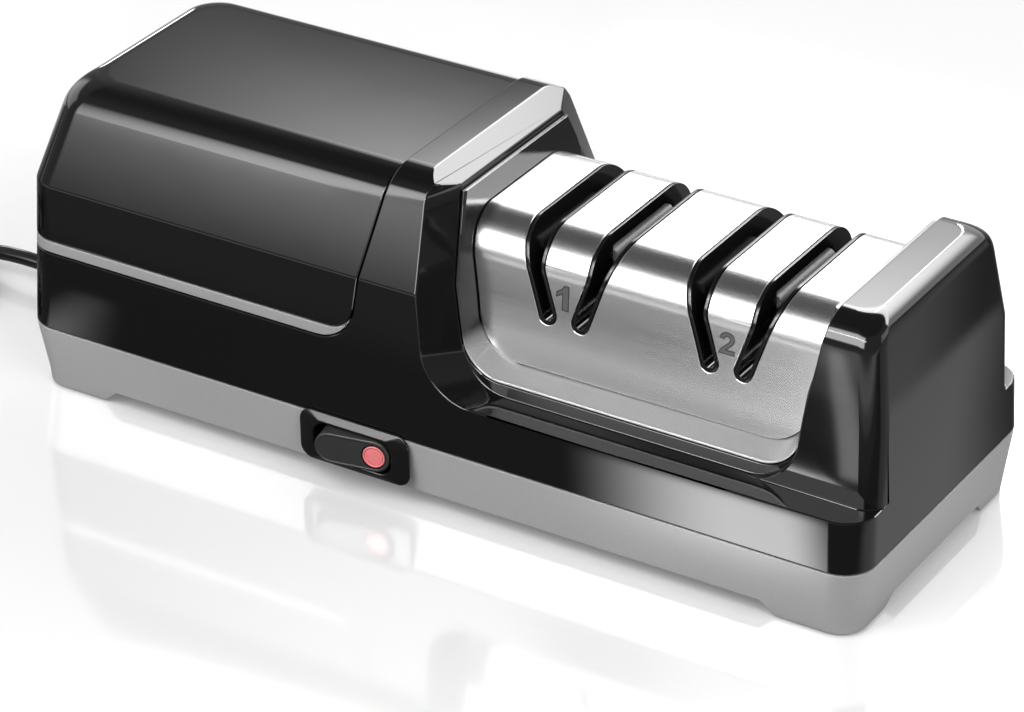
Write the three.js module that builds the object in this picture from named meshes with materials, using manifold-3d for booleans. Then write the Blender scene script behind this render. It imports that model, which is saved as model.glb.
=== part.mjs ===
// Electric knife sharpener: a two-stage bench sharpener with its motor, discs, switch and cord.
// Millimetres. The floor is z = 0, the long way is X, and the switch is on the -Y side.

import * as THREE from 'three';
import { mergeVertices } from 'three/addons/utils/BufferGeometryUtils.js';
import Module from 'manifold-3d';

const wasm = await Module();
wasm.setup();

// Clearances and fineness
const gap = 0.3;
const overrun = 3;
const weldDistance = 0.0005;
const tidyDistance = 0.003;
const farReach = 300;
const roundSteps = 5;
const circleSides = 28;
const smallSides = 12;
const cordSides = 8;
const cordSteps = 8;
const leadSteps = 22;

// Case walls, as half sizes from the middle of the case
const seamHeight = 18.1;
const wall = 2.4;
const planCorner = 8.5;
const creaseHeight = 58.2;
const coverTop = 83.2;
const collarProud = 1.1;
const collarTop = coverTop + collarProud;
const sideFace = {
  footHeight: seamHeight,
  footHalf: 43.4,
  creaseHeight,
  creaseInset: 2,
  leanShare: 0.398,
  fillet: 10.25,
};
const endFace = {
  footHeight: seamHeight,
  footHalf: 120,
  creaseHeight,
  creaseInset: 1.7,
  leanShare: 0.228,
  fillet: 8,
};

// End cap, set back from the lower band by a ledge
const bandTop = 32.5;
const ledgeDepth = 8;
const capTop = 77.5;
const capCreaseHeight = 53;
const capCorner = 5.2;
const capEnd = {
  footHeight: seamHeight,
  footHalf: endFace.footHalf,
  creaseHeight: capCreaseHeight,
  creaseInset: 0.9,
  leanShare: 0.137,
  fillet: 5,
};
const capSideFillet = 8.35;
const capSideCrease = 0.7;
const capSideLeanShare = 0.146;

// Base moulding
const base = {
  footBottom: 0.6,
  archHeight: 4.06,
  floor: 2.34,
  wall: 2.5,
  footSideInset: 2.3,
  footEndInset: 2.4,
  archSideInset: 1.75,
  archEndInset: 1.64,
  footCorner: 7,
  sideArchMargin: 14,
  sideArchShare: 1.19,
  endArchMargin: 11.5,
  endArchShare: 0.98,
};
const baseFloorTop = base.archHeight + base.floor;
const pad = { radius: 5.5, endMargin: 13, sideMargin: 10.4, sunk: 1.4 };
const vent = { width: 2.4, length: 32, pitch: 5, beforeCanEnd: 4, count: 6 };

// Parting between motor cover and collar, with its trim band
const parting = { collarWidth: 8.6, leanShare: 0.1527, gap: 0.35 };
const trim = { low: 40.1, high: 43, lowRadius: 10.7, highRadius: 7.8, thick: 2.4 };

// Bay that holds the sharpening module: half widths about its own centre, at the steel's crease
const bayCentre = 52.2;
const bayThroat = { half: 47.075, leanShare: 0.15, floor: 32.3, radius: 13 };
const mouthFlare = 5.516;
const bayMouth = { half: bayThroat.half + mouthFlare, leanShare: 0.097, floor: 32, radius: 14 };
const baySeatFloor = 35.2;
const baySeatRadius = 11;
const throatInset = 8;
const seatInset = 9.5;
const bayClipDrop = 2.7;
const bayClipHeight = coverTop - bayClipDrop;
const bayWall = 2.6;
const bayProud = 12;
const collarBevel = { set: 1.78, run: 6.5, drop: 4.3 };
const cavityTop = 29.6;
const windowMargin = 2.5;
const windowSide = 1.5;

// Bright surround of the module
const surroundLeftDrop = 1.5;
const surroundRightDrop = 4;
const surroundRim = 0.5;
const surroundLip = 1.2;

// Stainless cover, a bent sheet
const sheet = 0.9;
const steelMargin = 1.575;
const steel = { half: bayThroat.half - steelMargin, leanShare: 0.146, floor: 38.6, radius: 11.5 };
const steelTop = 73;
const steelSetback = 16.2;
const steelFootHalf = sideFace.footHalf - steelSetback;
const steelCrease = { height: 50, inset: 1.9 };
const steelCreaseHalf = steelFootHalf - steelCrease.inset;
const steelRimInset = 3.6;
const steelRimHalf = steelFootHalf - steelRimInset;
const steelFillet = 11.3;

// Sharpening stages, each a mirrored pair of slots, discs and pressers
const stageMargin = 23.4;
const stageCentres = [-1, 1].map((side) => bayCentre + side * (steel.half - stageMargin));
const slot = { endOffset: 4.55, endHeight: 52.8, leanShare: 0.327, half: 2.53, kneeOffset: 5.8 };
const slotEndShare = 0.97;
const kneeRadius = 6;
const guideWall = 0.8;

// Drive line
const axisHeight = 36;
const shaftRadius = 3;
const discRadius = 18.5;
const disc = { inner: 1.3, rim: 2.2, hub: 8, hubRadius: 8.5, cup: 6.3, floor: 3 };
const spring = { wire: 1, outer: 5.4 };
const bracket = { thick: 4, footHalf: 14, footHigh: 3.3, bossRadius: 10, lead: 2.1 };
const bush = { outer: 6 };
const driveOverhang = 1.9;
const shaftFlats = 6;
const tunnelRadius = 5;

// Blade pressers
const presser = { pivotOffset: 2, pivotHeight: 58.6, pin: 0.75, knuckle: 1.75, arm: 1.4 };
const rollMargin = 11.9;
const roll = { offset: 6.2, height: 66.6, radius: 1.7, half: steelCreaseHalf - rollMargin, room: 1.2 };
const ear = { start: roll.half + 2 * gap, thick: 3 };

// Motor
const canRadius = 18;
const canWall = 1.4;
const canLong = 50;
const bellThick = 4;
const rotorRadius = 14.5;
const magnet = { thick: 1.3, spanShare: 0.36, endMargin: 5 };
const coupling = { wallMargin: 6.367, long: 12, radius: 7 };
const fan = { fromCan: 7, long: 7, toCoupling: 4, radius: 15, hub: 6, blade: 1.2, count: 7 };
const cradle = { half: 14, high: 19, rib: 6, plate: 2.5, margin: 4 };

// Switch
const switchX = -18.5;
const switchZ = 12.4;
const bezel = { half: 16, high: 7, corner: 3.6, thick: 1.1, rise: 0.5, rim: 0.8, wall: 0.9, depth: 5.2 };
const bezelInner = { half: 12, high: 5.1 };
const well = { half: 11.35, high: 4.65 };
const rocker = { half: 10, high: 4.35, face: 5.7, back: 0.9, pivotIn: 2.2, pin: 1 };
const rockerTilt = THREE.MathUtils.degToRad(10.4);
const lamp = { offset: 5.8, radius: 2.95, thick: 1.2 };
const switchBody = { depth: 11, tab: 3, tabWidth: 4 };

// Screws, board and wiring
const screw = { shank: 1.3, head: 2.8, headHigh: 2.2, seat: 7.7, tip: 26, post: 4.2 };
const screwEndMargin = 32;
const screwSideMargin = 6.8;
const board = { endMargin: 50, sideMargin: 16.4, long: 40, high: 20, thick: 1.6, part: 10 };
const drum = { radius: 5, long: 9 };
const leadRadius = 1.8;
const leadWayShares = [0.411, 0.738];
const leadSideMargins = [33.4, 19.4, 15.4, 14.4];
const lead = { pastCan: 18, toSwitch: 26.5, height: 9, rise: 1 };

// Cord, coil and plug
const cordRadius = 2;
const relief = { height: 9.1, root: 4.2, tip: 2.8, long: 24, neck: 2.7, flange: 4.5, flangeThick: 1.6 };
const reliefTilt = THREE.MathUtils.degToRad(5);
const cordPoints = [[29, 6.6], [21, 5.9], [13, 3.6], [8, 2.2]];
const coil = { fromWall: 64, innerRadius: 15.8, pitch: 4.5, turns: 7.25, layerRise: 4.5, tail: 15 };
const coilSteps = 24;
const coilSides = 6;
const plug = { sleeve: 3.2, neck: 11.8, half: 9, high: 6.5, long: 24, corner: 3 };
const blade = { spacing: 12.7, thick: 1.5, high: 6.35, long: 16 };

// Finishes
const glossBlack = { color: 0x111113, roughness: 0.2, metalness: 0 };
const satinGrey = { color: 0x9c9da0, roughness: 0.45, metalness: 0.3 };
const satinSilver = { color: 0xb0b1b4, roughness: 0.35, metalness: 0.6 };
const stainless = { color: 0xc4c5c8, roughness: 0.25, metalness: 1 };
const darkPlastic = { color: 0x1c1c1e, roughness: 0.5, metalness: 0 };
const rockerGrey = { color: 0x3a3a3c, roughness: 0.5, metalness: 0 };
const lampRed = { color: 0xfa8082, roughness: 0.3, metalness: 0 };
const rubberGrey = { color: 0x2a2a2c, roughness: 0.85, metalness: 0 };
const rollGrey = { color: 0x8a8b8d, roughness: 0.6, metalness: 0 };
const steelGrey = { color: 0x8d8f93, roughness: 0.35, metalness: 1 };
const abrasive = { color: 0x6f6a63, roughness: 0.95, metalness: 0.1 };
const bronze = { color: 0x9a7442, roughness: 0.5, metalness: 0.9 };
const copper = { color: 0xa8603c, roughness: 0.5, metalness: 0.8 };
const boardGreen = { color: 0x2e5a3a, roughness: 0.6, metalness: 0 };

// Shape tools

function fromTriangles(positions, triangles) {
  const build = (corners) => new wasm.Manifold(new wasm.Mesh({
    numProp: 3,
    vertProperties: new Float32Array(positions),
    triVerts: new Uint32Array(corners),
  }));
  const first = build(triangles);
  return first.volume() < 0 ? build([...triangles].reverse()) : first;
}

// Any closed three.js geometry as a solid, its shared corners merged.
function solid(geometry) {
  const bare = new THREE.BufferGeometry();
  bare.setAttribute('position', geometry.getAttribute('position'));
  if (geometry.index) bare.setIndex(geometry.index);
  const welded = mergeVertices(bare, weldDistance);
  const corners = welded.index.array;
  const triangles = [];
  for (let i = 0; i < corners.length; i += 3) {
    const [a, b, c] = corners.slice(i, i + 3);
    if (a !== b && b !== c && c !== a) triangles.push(a, b, c);
  }
  return fromTriangles(welded.getAttribute('position').array, triangles);
}

function geometryOf(shape) {
  const mesh = shape.simplify(tidyDistance).getMesh();
  const geometry = new THREE.BufferGeometry();
  geometry.setAttribute('position', new THREE.BufferAttribute(mesh.vertProperties, mesh.numProp));
  geometry.setIndex(new THREE.BufferAttribute(mesh.triVerts, 1));
  geometry.computeVertexNormals();
  return geometry;
}

const join = (...shapes) => shapes.reduce((whole, shape) => whole.add(shape));
const cut = (shape, ...cutters) => cutters.reduce((whole, cutter) => whole.subtract(cutter), shape);

// An outline whose corners [x, y, radius] are rounded by arcs.
function rounded(corners, steps = roundSteps) {
  const points = [];
  corners.forEach(([x, y, radius = 0], i) => {
    if (!radius) {
      points.push([x, y]);
      return;
    }
    const here = new THREE.Vector2(x, y);
    const [beforeX, beforeY] = corners.at(i - 1);
    const [afterX, afterY] = corners[(i + 1) % corners.length];
    const back = new THREE.Vector2(beforeX, beforeY).sub(here).normalize();
    const ahead = new THREE.Vector2(afterX, afterY).sub(here).normalize();
    const halfAngle = Math.acos(back.dot(ahead)) / 2;
    const middle = back.clone().add(ahead).normalize();
    const centre = here.clone().addScaledVector(middle, radius / Math.sin(halfAngle));
    const start = here.clone().addScaledVector(back, radius / Math.tan(halfAngle)).sub(centre);
    const end = here.clone().addScaledVector(ahead, radius / Math.tan(halfAngle)).sub(centre);
    const sweep = Math.atan2(start.cross(end), start.dot(end));
    for (let step = 0; step <= steps; step += 1) {
      const point = start.clone().rotateAround(new THREE.Vector2(), sweep * step / steps);
      points.push([centre.x + point.x, centre.y + point.y]);
    }
  });
  return points;
}

const box2 = (minX, maxX, minY, maxY, radius = 0, steps = roundSteps) => rounded([
  [minX, minY, radius],
  [maxX, minY, radius],
  [maxX, maxY, radius],
  [minX, maxY, radius],
], steps);

function circle(x, y, radius, sides = circleSides) {
  const points = [];
  for (let i = 0; i < sides; i += 1) {
    const angle = 2 * Math.PI * i / sides;
    points.push([x + radius * Math.cos(angle), y + radius * Math.sin(angle)]);
  }
  return points;
}

// A plate of an outline, extruded and turned by the three axes its own X, Y and Z take.
function plate(points, from, to, xAxis, yAxis) {
  const shape = new THREE.Shape(points.map(([x, y]) => new THREE.Vector2(x, y)));
  const geometry = new THREE.ExtrudeGeometry(shape, { depth: to - from, bevelEnabled: false });
  geometry.translate(0, 0, from);
  const zAxis = new THREE.Vector3().crossVectors(xAxis, yAxis);
  geometry.applyMatrix4(new THREE.Matrix4().makeBasis(xAxis, yAxis, zAxis));
  return solid(geometry);
}

const alongX = new THREE.Vector3(1, 0, 0);
const alongY = new THREE.Vector3(0, 1, 0);
const alongZ = new THREE.Vector3(0, 0, 1);
const plateXZ = (points, minY, maxY) => plate(points, -maxY, -minY, alongX, alongZ);
const plateYZ = (points, minX, maxX) => plate(points, minX, maxX, alongY, alongZ);
const plateXY = (points, minZ, maxZ) => plate(points, minZ, maxZ, alongX, alongY);
const block = (minX, maxX, minY, maxY, minZ, maxZ) => plateXY(box2(minX, maxX, minY, maxY), minZ, maxZ);

// A solid turned about the drive axis from a closed profile of [x, radius] points.
function turned(profile, sides = smallSides) {
  const points = [...profile, profile[0]].map(([x, radius]) => new THREE.Vector2(radius, x));
  const geometry = new THREE.LatheGeometry(points, sides);
  geometry.rotateZ(-Math.PI / 2);
  geometry.translate(0, 0, axisHeight);
  return solid(geometry);
}

// A closed solid through rings of matching outlines, each point placed in space by its ring.
function loft(outlines, place) {
  const clockwise = THREE.ShapeUtils.isClockWise(outlines[0].map(([x, y]) => new THREE.Vector2(x, y)));
  const rings = clockwise ? outlines.map((outline) => [...outline].reverse()) : outlines;
  const count = rings[0].length;
  const positions = rings.flatMap((outline, i) => outline.flatMap((point) => place(point, i)));
  const triangles = [];
  for (let i = 0; i + 1 < rings.length; i += 1) {
    for (let j = 0; j < count; j += 1) {
      const a = i * count + j;
      const b = i * count + (j + 1) % count;
      triangles.push(a, b, b + count, a, b + count, a + count);
    }
  }
  const lid = (outline) => THREE.ShapeUtils.triangulateShape(
    outline.map(([x, y]) => new THREE.Vector2(x, y)),
    [],
  );
  const last = (rings.length - 1) * count;
  lid(rings[0]).forEach(([a, b, c]) => triangles.push(c, b, a));
  lid(rings.at(-1)).forEach(([a, b, c]) => triangles.push(last + a, last + b, last + c));
  return fromTriangles(positions, triangles);
}

// Case surfaces

// How far a leaning wall stands from the middle at a height, under its rounded top edge.
function halfAt(face, top, height) {
  const crease = face.footHalf - face.creaseInset;
  if (height <= face.creaseHeight) {
    const riseShare = (height - face.footHeight) / (face.creaseHeight - face.footHeight);
    return face.footHalf - face.creaseInset * riseShare;
  }
  const lean = Math.atan(face.leanShare);
  const tangent = top - face.fillet * (1 - Math.sin(lean));
  if (height <= tangent) return crease - face.leanShare * (height - face.creaseHeight);
  const rim = crease - face.leanShare * (top - face.creaseHeight);
  const flat = rim - face.fillet * Math.tan((Math.PI / 2 - lean) / 2);
  const rise = height - (top - face.fillet);
  return flat + Math.sqrt(Math.max(face.fillet ** 2 - rise ** 2, 0));
}

// Heights of the rings that round a wall onto its flat top.
function roundHeights(face, top) {
  const lean = Math.atan(face.leanShare);
  const heights = [];
  for (let step = 0; step <= roundSteps; step += 1) {
    const angle = lean + (Math.PI / 2 - lean) * step / roundSteps;
    heights.push(top - face.fillet * (1 - Math.sin(angle)));
  }
  return heights;
}

const inward = (face, depth) => ({ ...face, footHalf: face.footHalf - depth, fillet: face.fillet - depth });

// Half of the case, from just past the bay's centre out to its leaning end.
function leaningBody(side, end, top, foot, direction, corner) {
  const heights = [foot, side.creaseHeight, ...roundHeights(side, top)];
  const inner = bayCentre - direction * planCorner;
  const outlines = heights.map((height) => {
    const tip = direction * halfAt(end, top, height);
    const half = halfAt(side, top, height);
    return box2(Math.min(tip, inner), Math.max(tip, inner), -half, half, corner);
  });
  return loft(outlines, ([x, y], i) => [x, y, heights[i]]);
}

const capSide = {
  footHeight: bandTop,
  footHalf: halfAt(sideFace, coverTop, bandTop) - ledgeDepth,
  creaseHeight: capCreaseHeight,
  creaseInset: capSideCrease,
  leanShare: capSideLeanShare,
  fillet: capSideFillet,
};
const housingFoot = seamHeight + gap;
const tallBody = (depth, top, foot) => leaningBody(
  inward(sideFace, depth), inward(endFace, depth), top - depth, foot, -1, planCorner - depth,
);
const capBody = (depth, foot) => leaningBody(
  inward(capSide, depth), inward(capEnd, depth), capTop - depth, foot, 1, capCorner - depth,
);

// The lower band all round, from the seam to a height.
function bandBody(depth, foot, top) {
  const outlines = [foot, top].map((height) => {
    const half = halfAt(sideFace, coverTop, height) - depth;
    const left = halfAt(endFace, coverTop, height) - depth;
    const right = halfAt(capEnd, capTop, height) - depth;
    return box2(-left, right, -half, half, planCorner - depth);
  });
  return loft(outlines, ([x, y], i) => [x, y, [foot, top][i]]);
}

// Left of the parting line and above a height, across the whole case.
function motorRegion(shift, bottom, radius) {
  const partingX = (height) => bevelX - parting.collarWidth - parting.leanShare * (coverTop - height) + shift;
  return plateXZ(rounded([
    [-farReach, bottom],
    [partingX(bottom), bottom, radius],
    [partingX(farReach), farReach],
    [-farReach, farReach],
  ]), -farReach, farReach);
}

// Bay surfaces

const lineX = (line, height, direction) => (
  bayCentre + direction * (line.half + line.leanShare * (height - steelCrease.height))
);

const bevelX = lineX(bayMouth, collarTop, -1) - collarBevel.set;
const sideHeights = [creaseHeight, coverTop - sideFace.fillet, bayClipHeight - sheet, bayClipHeight];

// Outline of the bay or of what fits it: two leaning sides on a rounded floor.
function bayOutline({ left, right, floor, radius, inset = 0, leftTop = farReach, rightTop = farReach }) {
  const leftX = (height) => lineX(left, height, -1) + inset;
  const rightX = (height) => lineX(right, height, 1) - inset;
  const level = floor + inset;
  const rise = sideHeights.filter((height) => height < rightTop);
  const fall = sideHeights.filter((height) => height < leftTop).reverse();
  return rounded([
    [leftX(level), level, radius - inset],
    [rightX(level), level, radius - inset],
    ...rise.map((height) => [rightX(height), height]),
    [rightX(rightTop), rightTop],
    [leftX(leftTop), leftTop],
    ...fall.map((height) => [leftX(height), height]),
  ]);
}

// Depth of a point that follows the leaning front face, a given way behind it.
const faceDepth = (height, inset) => halfAt(sideFace, collarTop, Math.min(height, bayClipHeight)) - inset;

// A solid through outlines that follow the front face, then the back face.
function acrossFaces(rings) {
  return loft(
    rings.map(([outline]) => outline),
    ([x, z], i) => [x, rings[i][1] * faceDepth(z, rings[i][2]), z],
  );
}

function bayCutter() {
  const mouth = bayOutline({ left: bayMouth, right: bayThroat, ...onFloor(bayMouth) });
  const throat = bayOutline({ left: bayThroat, right: bayThroat, ...onFloor(bayThroat) });
  const seat = bayOutline(seatSizes());
  const half = [[mouth, -bayProud], [mouth, 0], [throat, throatInset], [seat, seatInset]];
  return acrossFaces([
    ...half.map(([outline, inset]) => [outline, -1, inset]),
    ...half.reverse().map(([outline, inset]) => [outline, 1, inset]),
  ]);
}

const onFloor = ({ floor, radius }) => ({ floor, radius });

function seatSizes() {
  return { left: bayThroat, right: bayThroat, floor: baySeatFloor, radius: baySeatRadius };
}

function steelSizes() {
  return { left: steel, right: steel, floor: steel.floor, radius: steel.radius };
}

// Room for the drive line, cut through what lies round it

const [firstBracket, , lastBracket] = bracketSpots();
const windowStart = firstBracket - bracket.thick / 2 - windowMargin;
const windowStop = lastBracket + bracket.thick / 2 + windowMargin;
const windowHalf = discRadius + windowSide;
const driveEnd = lastBracket + bracket.thick / 2 + driveOverhang;

const driveWindow = () => block(
  windowStart, windowStop, -windowHalf, windowHalf, housingFoot, axisHeight + tunnelRadius,
);

// Stations along the drive line, back from the collar's wall to the motor.
const couplingEnd = lineX(bayMouth, axisHeight, -1) - bayWall - coupling.wallMargin;
const couplingStart = couplingEnd - coupling.long;
const driveStart = (couplingStart + couplingEnd) / 2 + gap;
const fanEnd = couplingStart - fan.toCoupling;
const fanStart = fanEnd - fan.long;
const canEnd = fanStart - fan.fromCan;
const canStart = canEnd - canLong;

function shaftWay() {
  const start = lineX(bayMouth, axisHeight, -1) - bayWall - overrun;
  const stop = windowStart + gap;
  return turned([[start, 0], [stop, 0], [stop, tunnelRadius], [start, tunnelRadius]]);
}

// Housing parts

function screwSpots() {
  const x = endFace.footHalf - screwEndMargin;
  const y = sideFace.footHalf - screwSideMargin;
  return [[-x, -y], [-x, y], [x, -y], [x, y]];
}

function rod(x, y, radius, minZ, maxZ, sides = smallSides) {
  return plateXY(circle(x, y, radius, sides), minZ, maxZ);
}

function housingCavity() {
  const leftOfBay = plateXZ([
    [-farReach, 0],
    [lineX(bayMouth, 0, -1) - bayWall, 0],
    [lineX(bayMouth, farReach, -1) - bayWall, farReach],
    [-farReach, farReach],
  ], -farReach, farReach);
  const rightOfBay = plateXZ([
    [lineX(bayThroat, 0, 1) + bayWall, 0],
    [farReach, 0],
    [farReach, farReach],
    [lineX(bayThroat, farReach, 1) + bayWall, farReach],
  ], -farReach, farReach);
  const foot = housingFoot - overrun;
  return join(
    bandBody(wall, foot, cavityTop),
    tallBody(wall, collarTop, foot).intersect(leftOfBay),
    capBody(wall, foot).intersect(rightOfBay),
  );
}

function upperHousing() {
  const outer = join(
    tallBody(0, collarTop, housingFoot),
    bandBody(0, housingFoot, bandTop),
    capBody(0, housingFoot),
  );
  const bevel = plateXZ([
    [bevelX, collarTop],
    [bevelX + 2 * collarBevel.run, collarTop - 2 * collarBevel.drop],
    [bevelX + 2 * collarBevel.run, collarTop + overrun],
    [bevelX, collarTop + overrun],
  ], -farReach, farReach);
  const shell = cut(
    outer,
    bayCutter(),
    bevel,
    motorRegion(parting.gap, trim.low - gap, trim.lowRadius + gap),
    housingCavity(),
  );
  const posts = screwSpots().map(([x, y]) => (
    rod(x, y, screw.post, housingFoot, cavityTop + gap)
  ));
  const holes = screwSpots().map(([x, y]) => (
    rod(x, y, screw.shank + gap, housingFoot - overrun, screw.tip + gap)
  ));
  const sideWalls = tallBody(0, collarTop, housingFoot);
  const heldPosts = join(...posts).intersect(sideWalls.add(bandBody(0, housingFoot, bandTop)));
  return cut(shell.add(heldPosts), ...holes, shaftWay(), driveWindow());
}

function motorCover() {
  const region = motorRegion(0, trim.high + gap, trim.highRadius - gap);
  const outer = tallBody(0, coverTop, housingFoot).intersect(region);
  return outer.subtract(tallBody(wall, coverTop, housingFoot - overrun));
}

function trimBand() {
  const shell = tallBody(0, coverTop, housingFoot)
    .subtract(tallBody(trim.thick, coverTop, housingFoot - overrun));
  return shell
    .intersect(motorRegion(parting.gap - gap, trim.low, trim.lowRadius))
    .subtract(motorRegion(gap, trim.high, trim.highRadius));
}

// Base

function baseHalf(face, archInset, height) {
  const share = (seamHeight - height) / (seamHeight - base.archHeight);
  return face.footHalf - archInset * share;
}

function basePlan(height, depth) {
  const long = baseHalf(endFace, base.archEndInset, height) - depth;
  const half = baseHalf(sideFace, base.archSideInset, height) - depth;
  return box2(-long, long, -half, half, planCorner - depth);
}

function baseOuter() {
  const long = endFace.footHalf - base.footEndInset;
  const half = sideFace.footHalf - base.footSideInset;
  const foot = box2(-long, long, -half, half, base.footCorner);
  const heights = [base.footBottom, base.archHeight, seamHeight];
  const outlines = [foot, basePlan(base.archHeight, 0), basePlan(seamHeight, 0)];
  return loft(outlines, ([x, y], i) => [x, y, heights[i]]);
}

function archOutline(half, share) {
  const drop = base.archHeight + overrun;
  return [
    [-half, base.archHeight],
    [-half - share * drop, -overrun],
    [half + share * drop, -overrun],
    [half, base.archHeight],
  ];
}

const padX = endFace.footHalf - pad.endMargin;
const padY = sideFace.footHalf - pad.sideMargin;
const padSpots = [[-padX, -padY], [padX, -padY], [padX, padY], [-padX, padY]];

function baseShell() {
  const heights = [baseFloorTop, seamHeight + overrun];
  const inside = loft(
    heights.map((height) => basePlan(height, base.wall)),
    ([x, y], i) => [x, y, heights[i]],
  );
  const hollow = cut(
    baseOuter(),
    plateXZ(archOutline(padX - base.sideArchMargin, base.sideArchShare), -farReach, farReach),
    plateYZ(archOutline(padY - base.endArchMargin, base.endArchShare), -farReach, farReach),
    inside,
  );
  const posts = screwSpots().map(([x, y]) => (
    rod(x, y, screw.post, base.archHeight + base.floor / 2, seamHeight - gap)
  ));
  const solidBase = hollow.add(join(...posts).intersect(baseOuter()));
  const holes = screwSpots().map(([x, y]) => join(
    rod(x, y, screw.shank + gap, -overrun, seamHeight + overrun),
    rod(x, y, screw.head + gap, -overrun, screw.seat + gap),
  ));
  const padSeats = padSpots.map(([x, y]) => (
    rod(x, y, pad.radius + gap, -overrun, base.footBottom + pad.sunk + gap, circleSides)
  ));
  const vents = [];
  for (let i = 0; i < vent.count; i += 1) {
    const x = canEnd - vent.beforeCanEnd + i * vent.pitch;
    vents.push(block(x, x + vent.width, -vent.length / 2, vent.length / 2, 0, baseFloorTop + gap));
  }
  const notch = block(
    switchX - well.half - bezel.wall - gap,
    switchX + well.half + bezel.wall + gap,
    -farReach,
    -baseHalf(sideFace, base.archSideInset, baseFloorTop) + base.wall + overrun,
    switchZ - well.high - bezel.wall - gap,
    seamHeight + overrun,
  );
  return cut(solidBase, ...holes, ...padSeats, ...vents, notch, reliefNeck(relief.neck + gap));
}

function footPad(x, y) {
  return rod(x, y, pad.radius, 0, base.footBottom + pad.sunk, circleSides);
}

// Sharpening module

function moduleSurround() {
  const outline = bayOutline({
    ...seatSizes(),
    inset: gap,
    leftTop: bayClipHeight - surroundLeftDrop,
    rightTop: bayClipHeight - surroundRightDrop,
  });
  const frame = acrossFaces([[outline, -1, seatInset], [outline, 1, seatInset]]);
  const opening = bayOutline({ ...steelSizes(), inset: -gap });
  const rim = bayOutline({ ...seatSizes(), inset: gap + surroundRim });
  const funnel = (direction) => loft(
    [rim, rim, opening],
    ([x, z], i) => [x, direction * (
      i < 2
        ? faceDepth(z, seatInset - (1 - i) * overrun)
        : Math.min(steelCreaseHalf + surroundLip, faceDepth(z, seatInset) - surroundRim)
    ), z],
  );
  return cut(
    frame,
    plateXZ(opening, -farReach, farReach),
    funnel(-1),
    funnel(1),
    driveWindow(),
    shaftWay(),
  );
}

// Cross-section of the bent sheet, drawn a given way inside its outer face.
function steelSection(depth, drop) {
  return rounded([
    [-steelFootHalf + depth, steel.floor - drop],
    [-steelCreaseHalf + depth, steelCrease.height],
    [-steelRimHalf + depth, steelTop - depth, steelFillet - depth],
    [steelRimHalf - depth, steelTop - depth, steelFillet - depth],
    [steelCreaseHalf - depth, steelCrease.height],
    [steelFootHalf - depth, steel.floor - drop],
  ]);
}

const steelBody = (depth, drop) => plateYZ(steelSection(depth, drop), -farReach, farReach);

// Outline of one slot, drawn a given way inside its edge: a leaning finger that widens upwards.
function slotOutline(stage, direction, inset) {
  const half = slot.half - inset;
  const lean = Math.atan(slot.leanShare);
  const endHeight = slot.endHeight - half * Math.cos(lean);
  const endOffset = slot.endOffset - half * Math.sin(lean);
  const outer = [endOffset + half * Math.cos(lean), endHeight - half * Math.sin(lean)];
  const inner = [endOffset - half * Math.cos(lean), endHeight + half * Math.sin(lean)];
  const knee = slot.kneeOffset + inset;
  const kneeHeight = inner[1] + (knee - inner[0]) / slot.leanShare;
  const high = steelTop + overrun;
  return rounded([
    [...outer, half * slotEndShare],
    [...inner, half * slotEndShare],
    [knee, kneeHeight, kneeRadius],
    [knee, high],
    [outer[0] + slot.leanShare * (high - outer[1]), high],
  ]).map(([offset, height]) => [stage + direction * offset, height]);
}

const eachSlot = stageCentres.flatMap((stage) => [[stage, -1], [stage, 1]]);

function steelCover() {
  const sides = plateXZ(bayOutline(steelSizes()), -farReach, farReach);
  const bent = steelBody(0, 0).intersect(sides).subtract(steelBody(sheet, overrun));
  const slots = eachSlot.map(([stage, direction]) => (
    plateXZ(slotOutline(stage, direction, 0), -farReach, farReach)
  ));
  return cut(bent, ...slots);
}

// A box reaching from one offset to another on the slot's side of the stage.
function slotBlock(stage, direction, near, far, halfY, minZ, maxZ) {
  const ends = [stage + direction * near, stage + direction * far];
  return block(Math.min(...ends), Math.max(...ends), -halfY, halfY, minZ, maxZ);
}

function slotGuide(stage, direction) {
  const trough = plateXZ(slotOutline(stage, direction, gap), -farReach, farReach)
    .subtract(plateXZ(slotOutline(stage, direction, gap + guideWall), -farReach, farReach))
    .intersect(steelBody(0, overrun));
  const discFace = disc.inner + disc.rim + gap;
  const discTop = axisHeight + discRadius;
  const discHalf = discHalfAt(slot.endHeight);
  const discWindow = slotBlock(stage, direction, 0, discFace, discHalf, 0, discTop + overrun);
  const armWindow = slotBlock(
    stage, direction, 0, slot.kneeOffset + 2 * guideWall,
    roll.half + gap, presser.pivotHeight + presser.knuckle + gap, roll.height + roll.radius + roll.room,
  );
  const eye = [stage + direction * presser.pivotOffset, presser.pivotHeight];
  const reach = stage + direction * (slot.endOffset + slot.leanShare * slot.half);
  const earOutline = box2(
    Math.min(eye[0], reach), Math.max(eye[0], reach), eye[1] - presser.knuckle, eye[1] + presser.knuckle,
  );
  const outside = plateXZ(slotOutline(stage, direction, gap + guideWall / 2), -farReach, farReach);
  const ears = [-ear.start - ear.thick, ear.start].map((minY) => cut(
    join(
      plateXZ(earOutline, minY, minY + ear.thick),
      plateXZ(circle(...eye, presser.knuckle, smallSides), minY, minY + ear.thick),
    ),
    outside,
    plateXZ(circle(...eye, presser.pin + gap, smallSides), minY - overrun, minY + ear.thick + overrun),
  ));
  return join(cut(trough, discWindow, armWindow), ...ears);
}

// Half width of a disc at a height above the axis, with its clearance.
function discHalfAt(height) {
  return Math.sqrt(discRadius ** 2 - (height - slot.half - axisHeight) ** 2) + gap;
}

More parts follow.
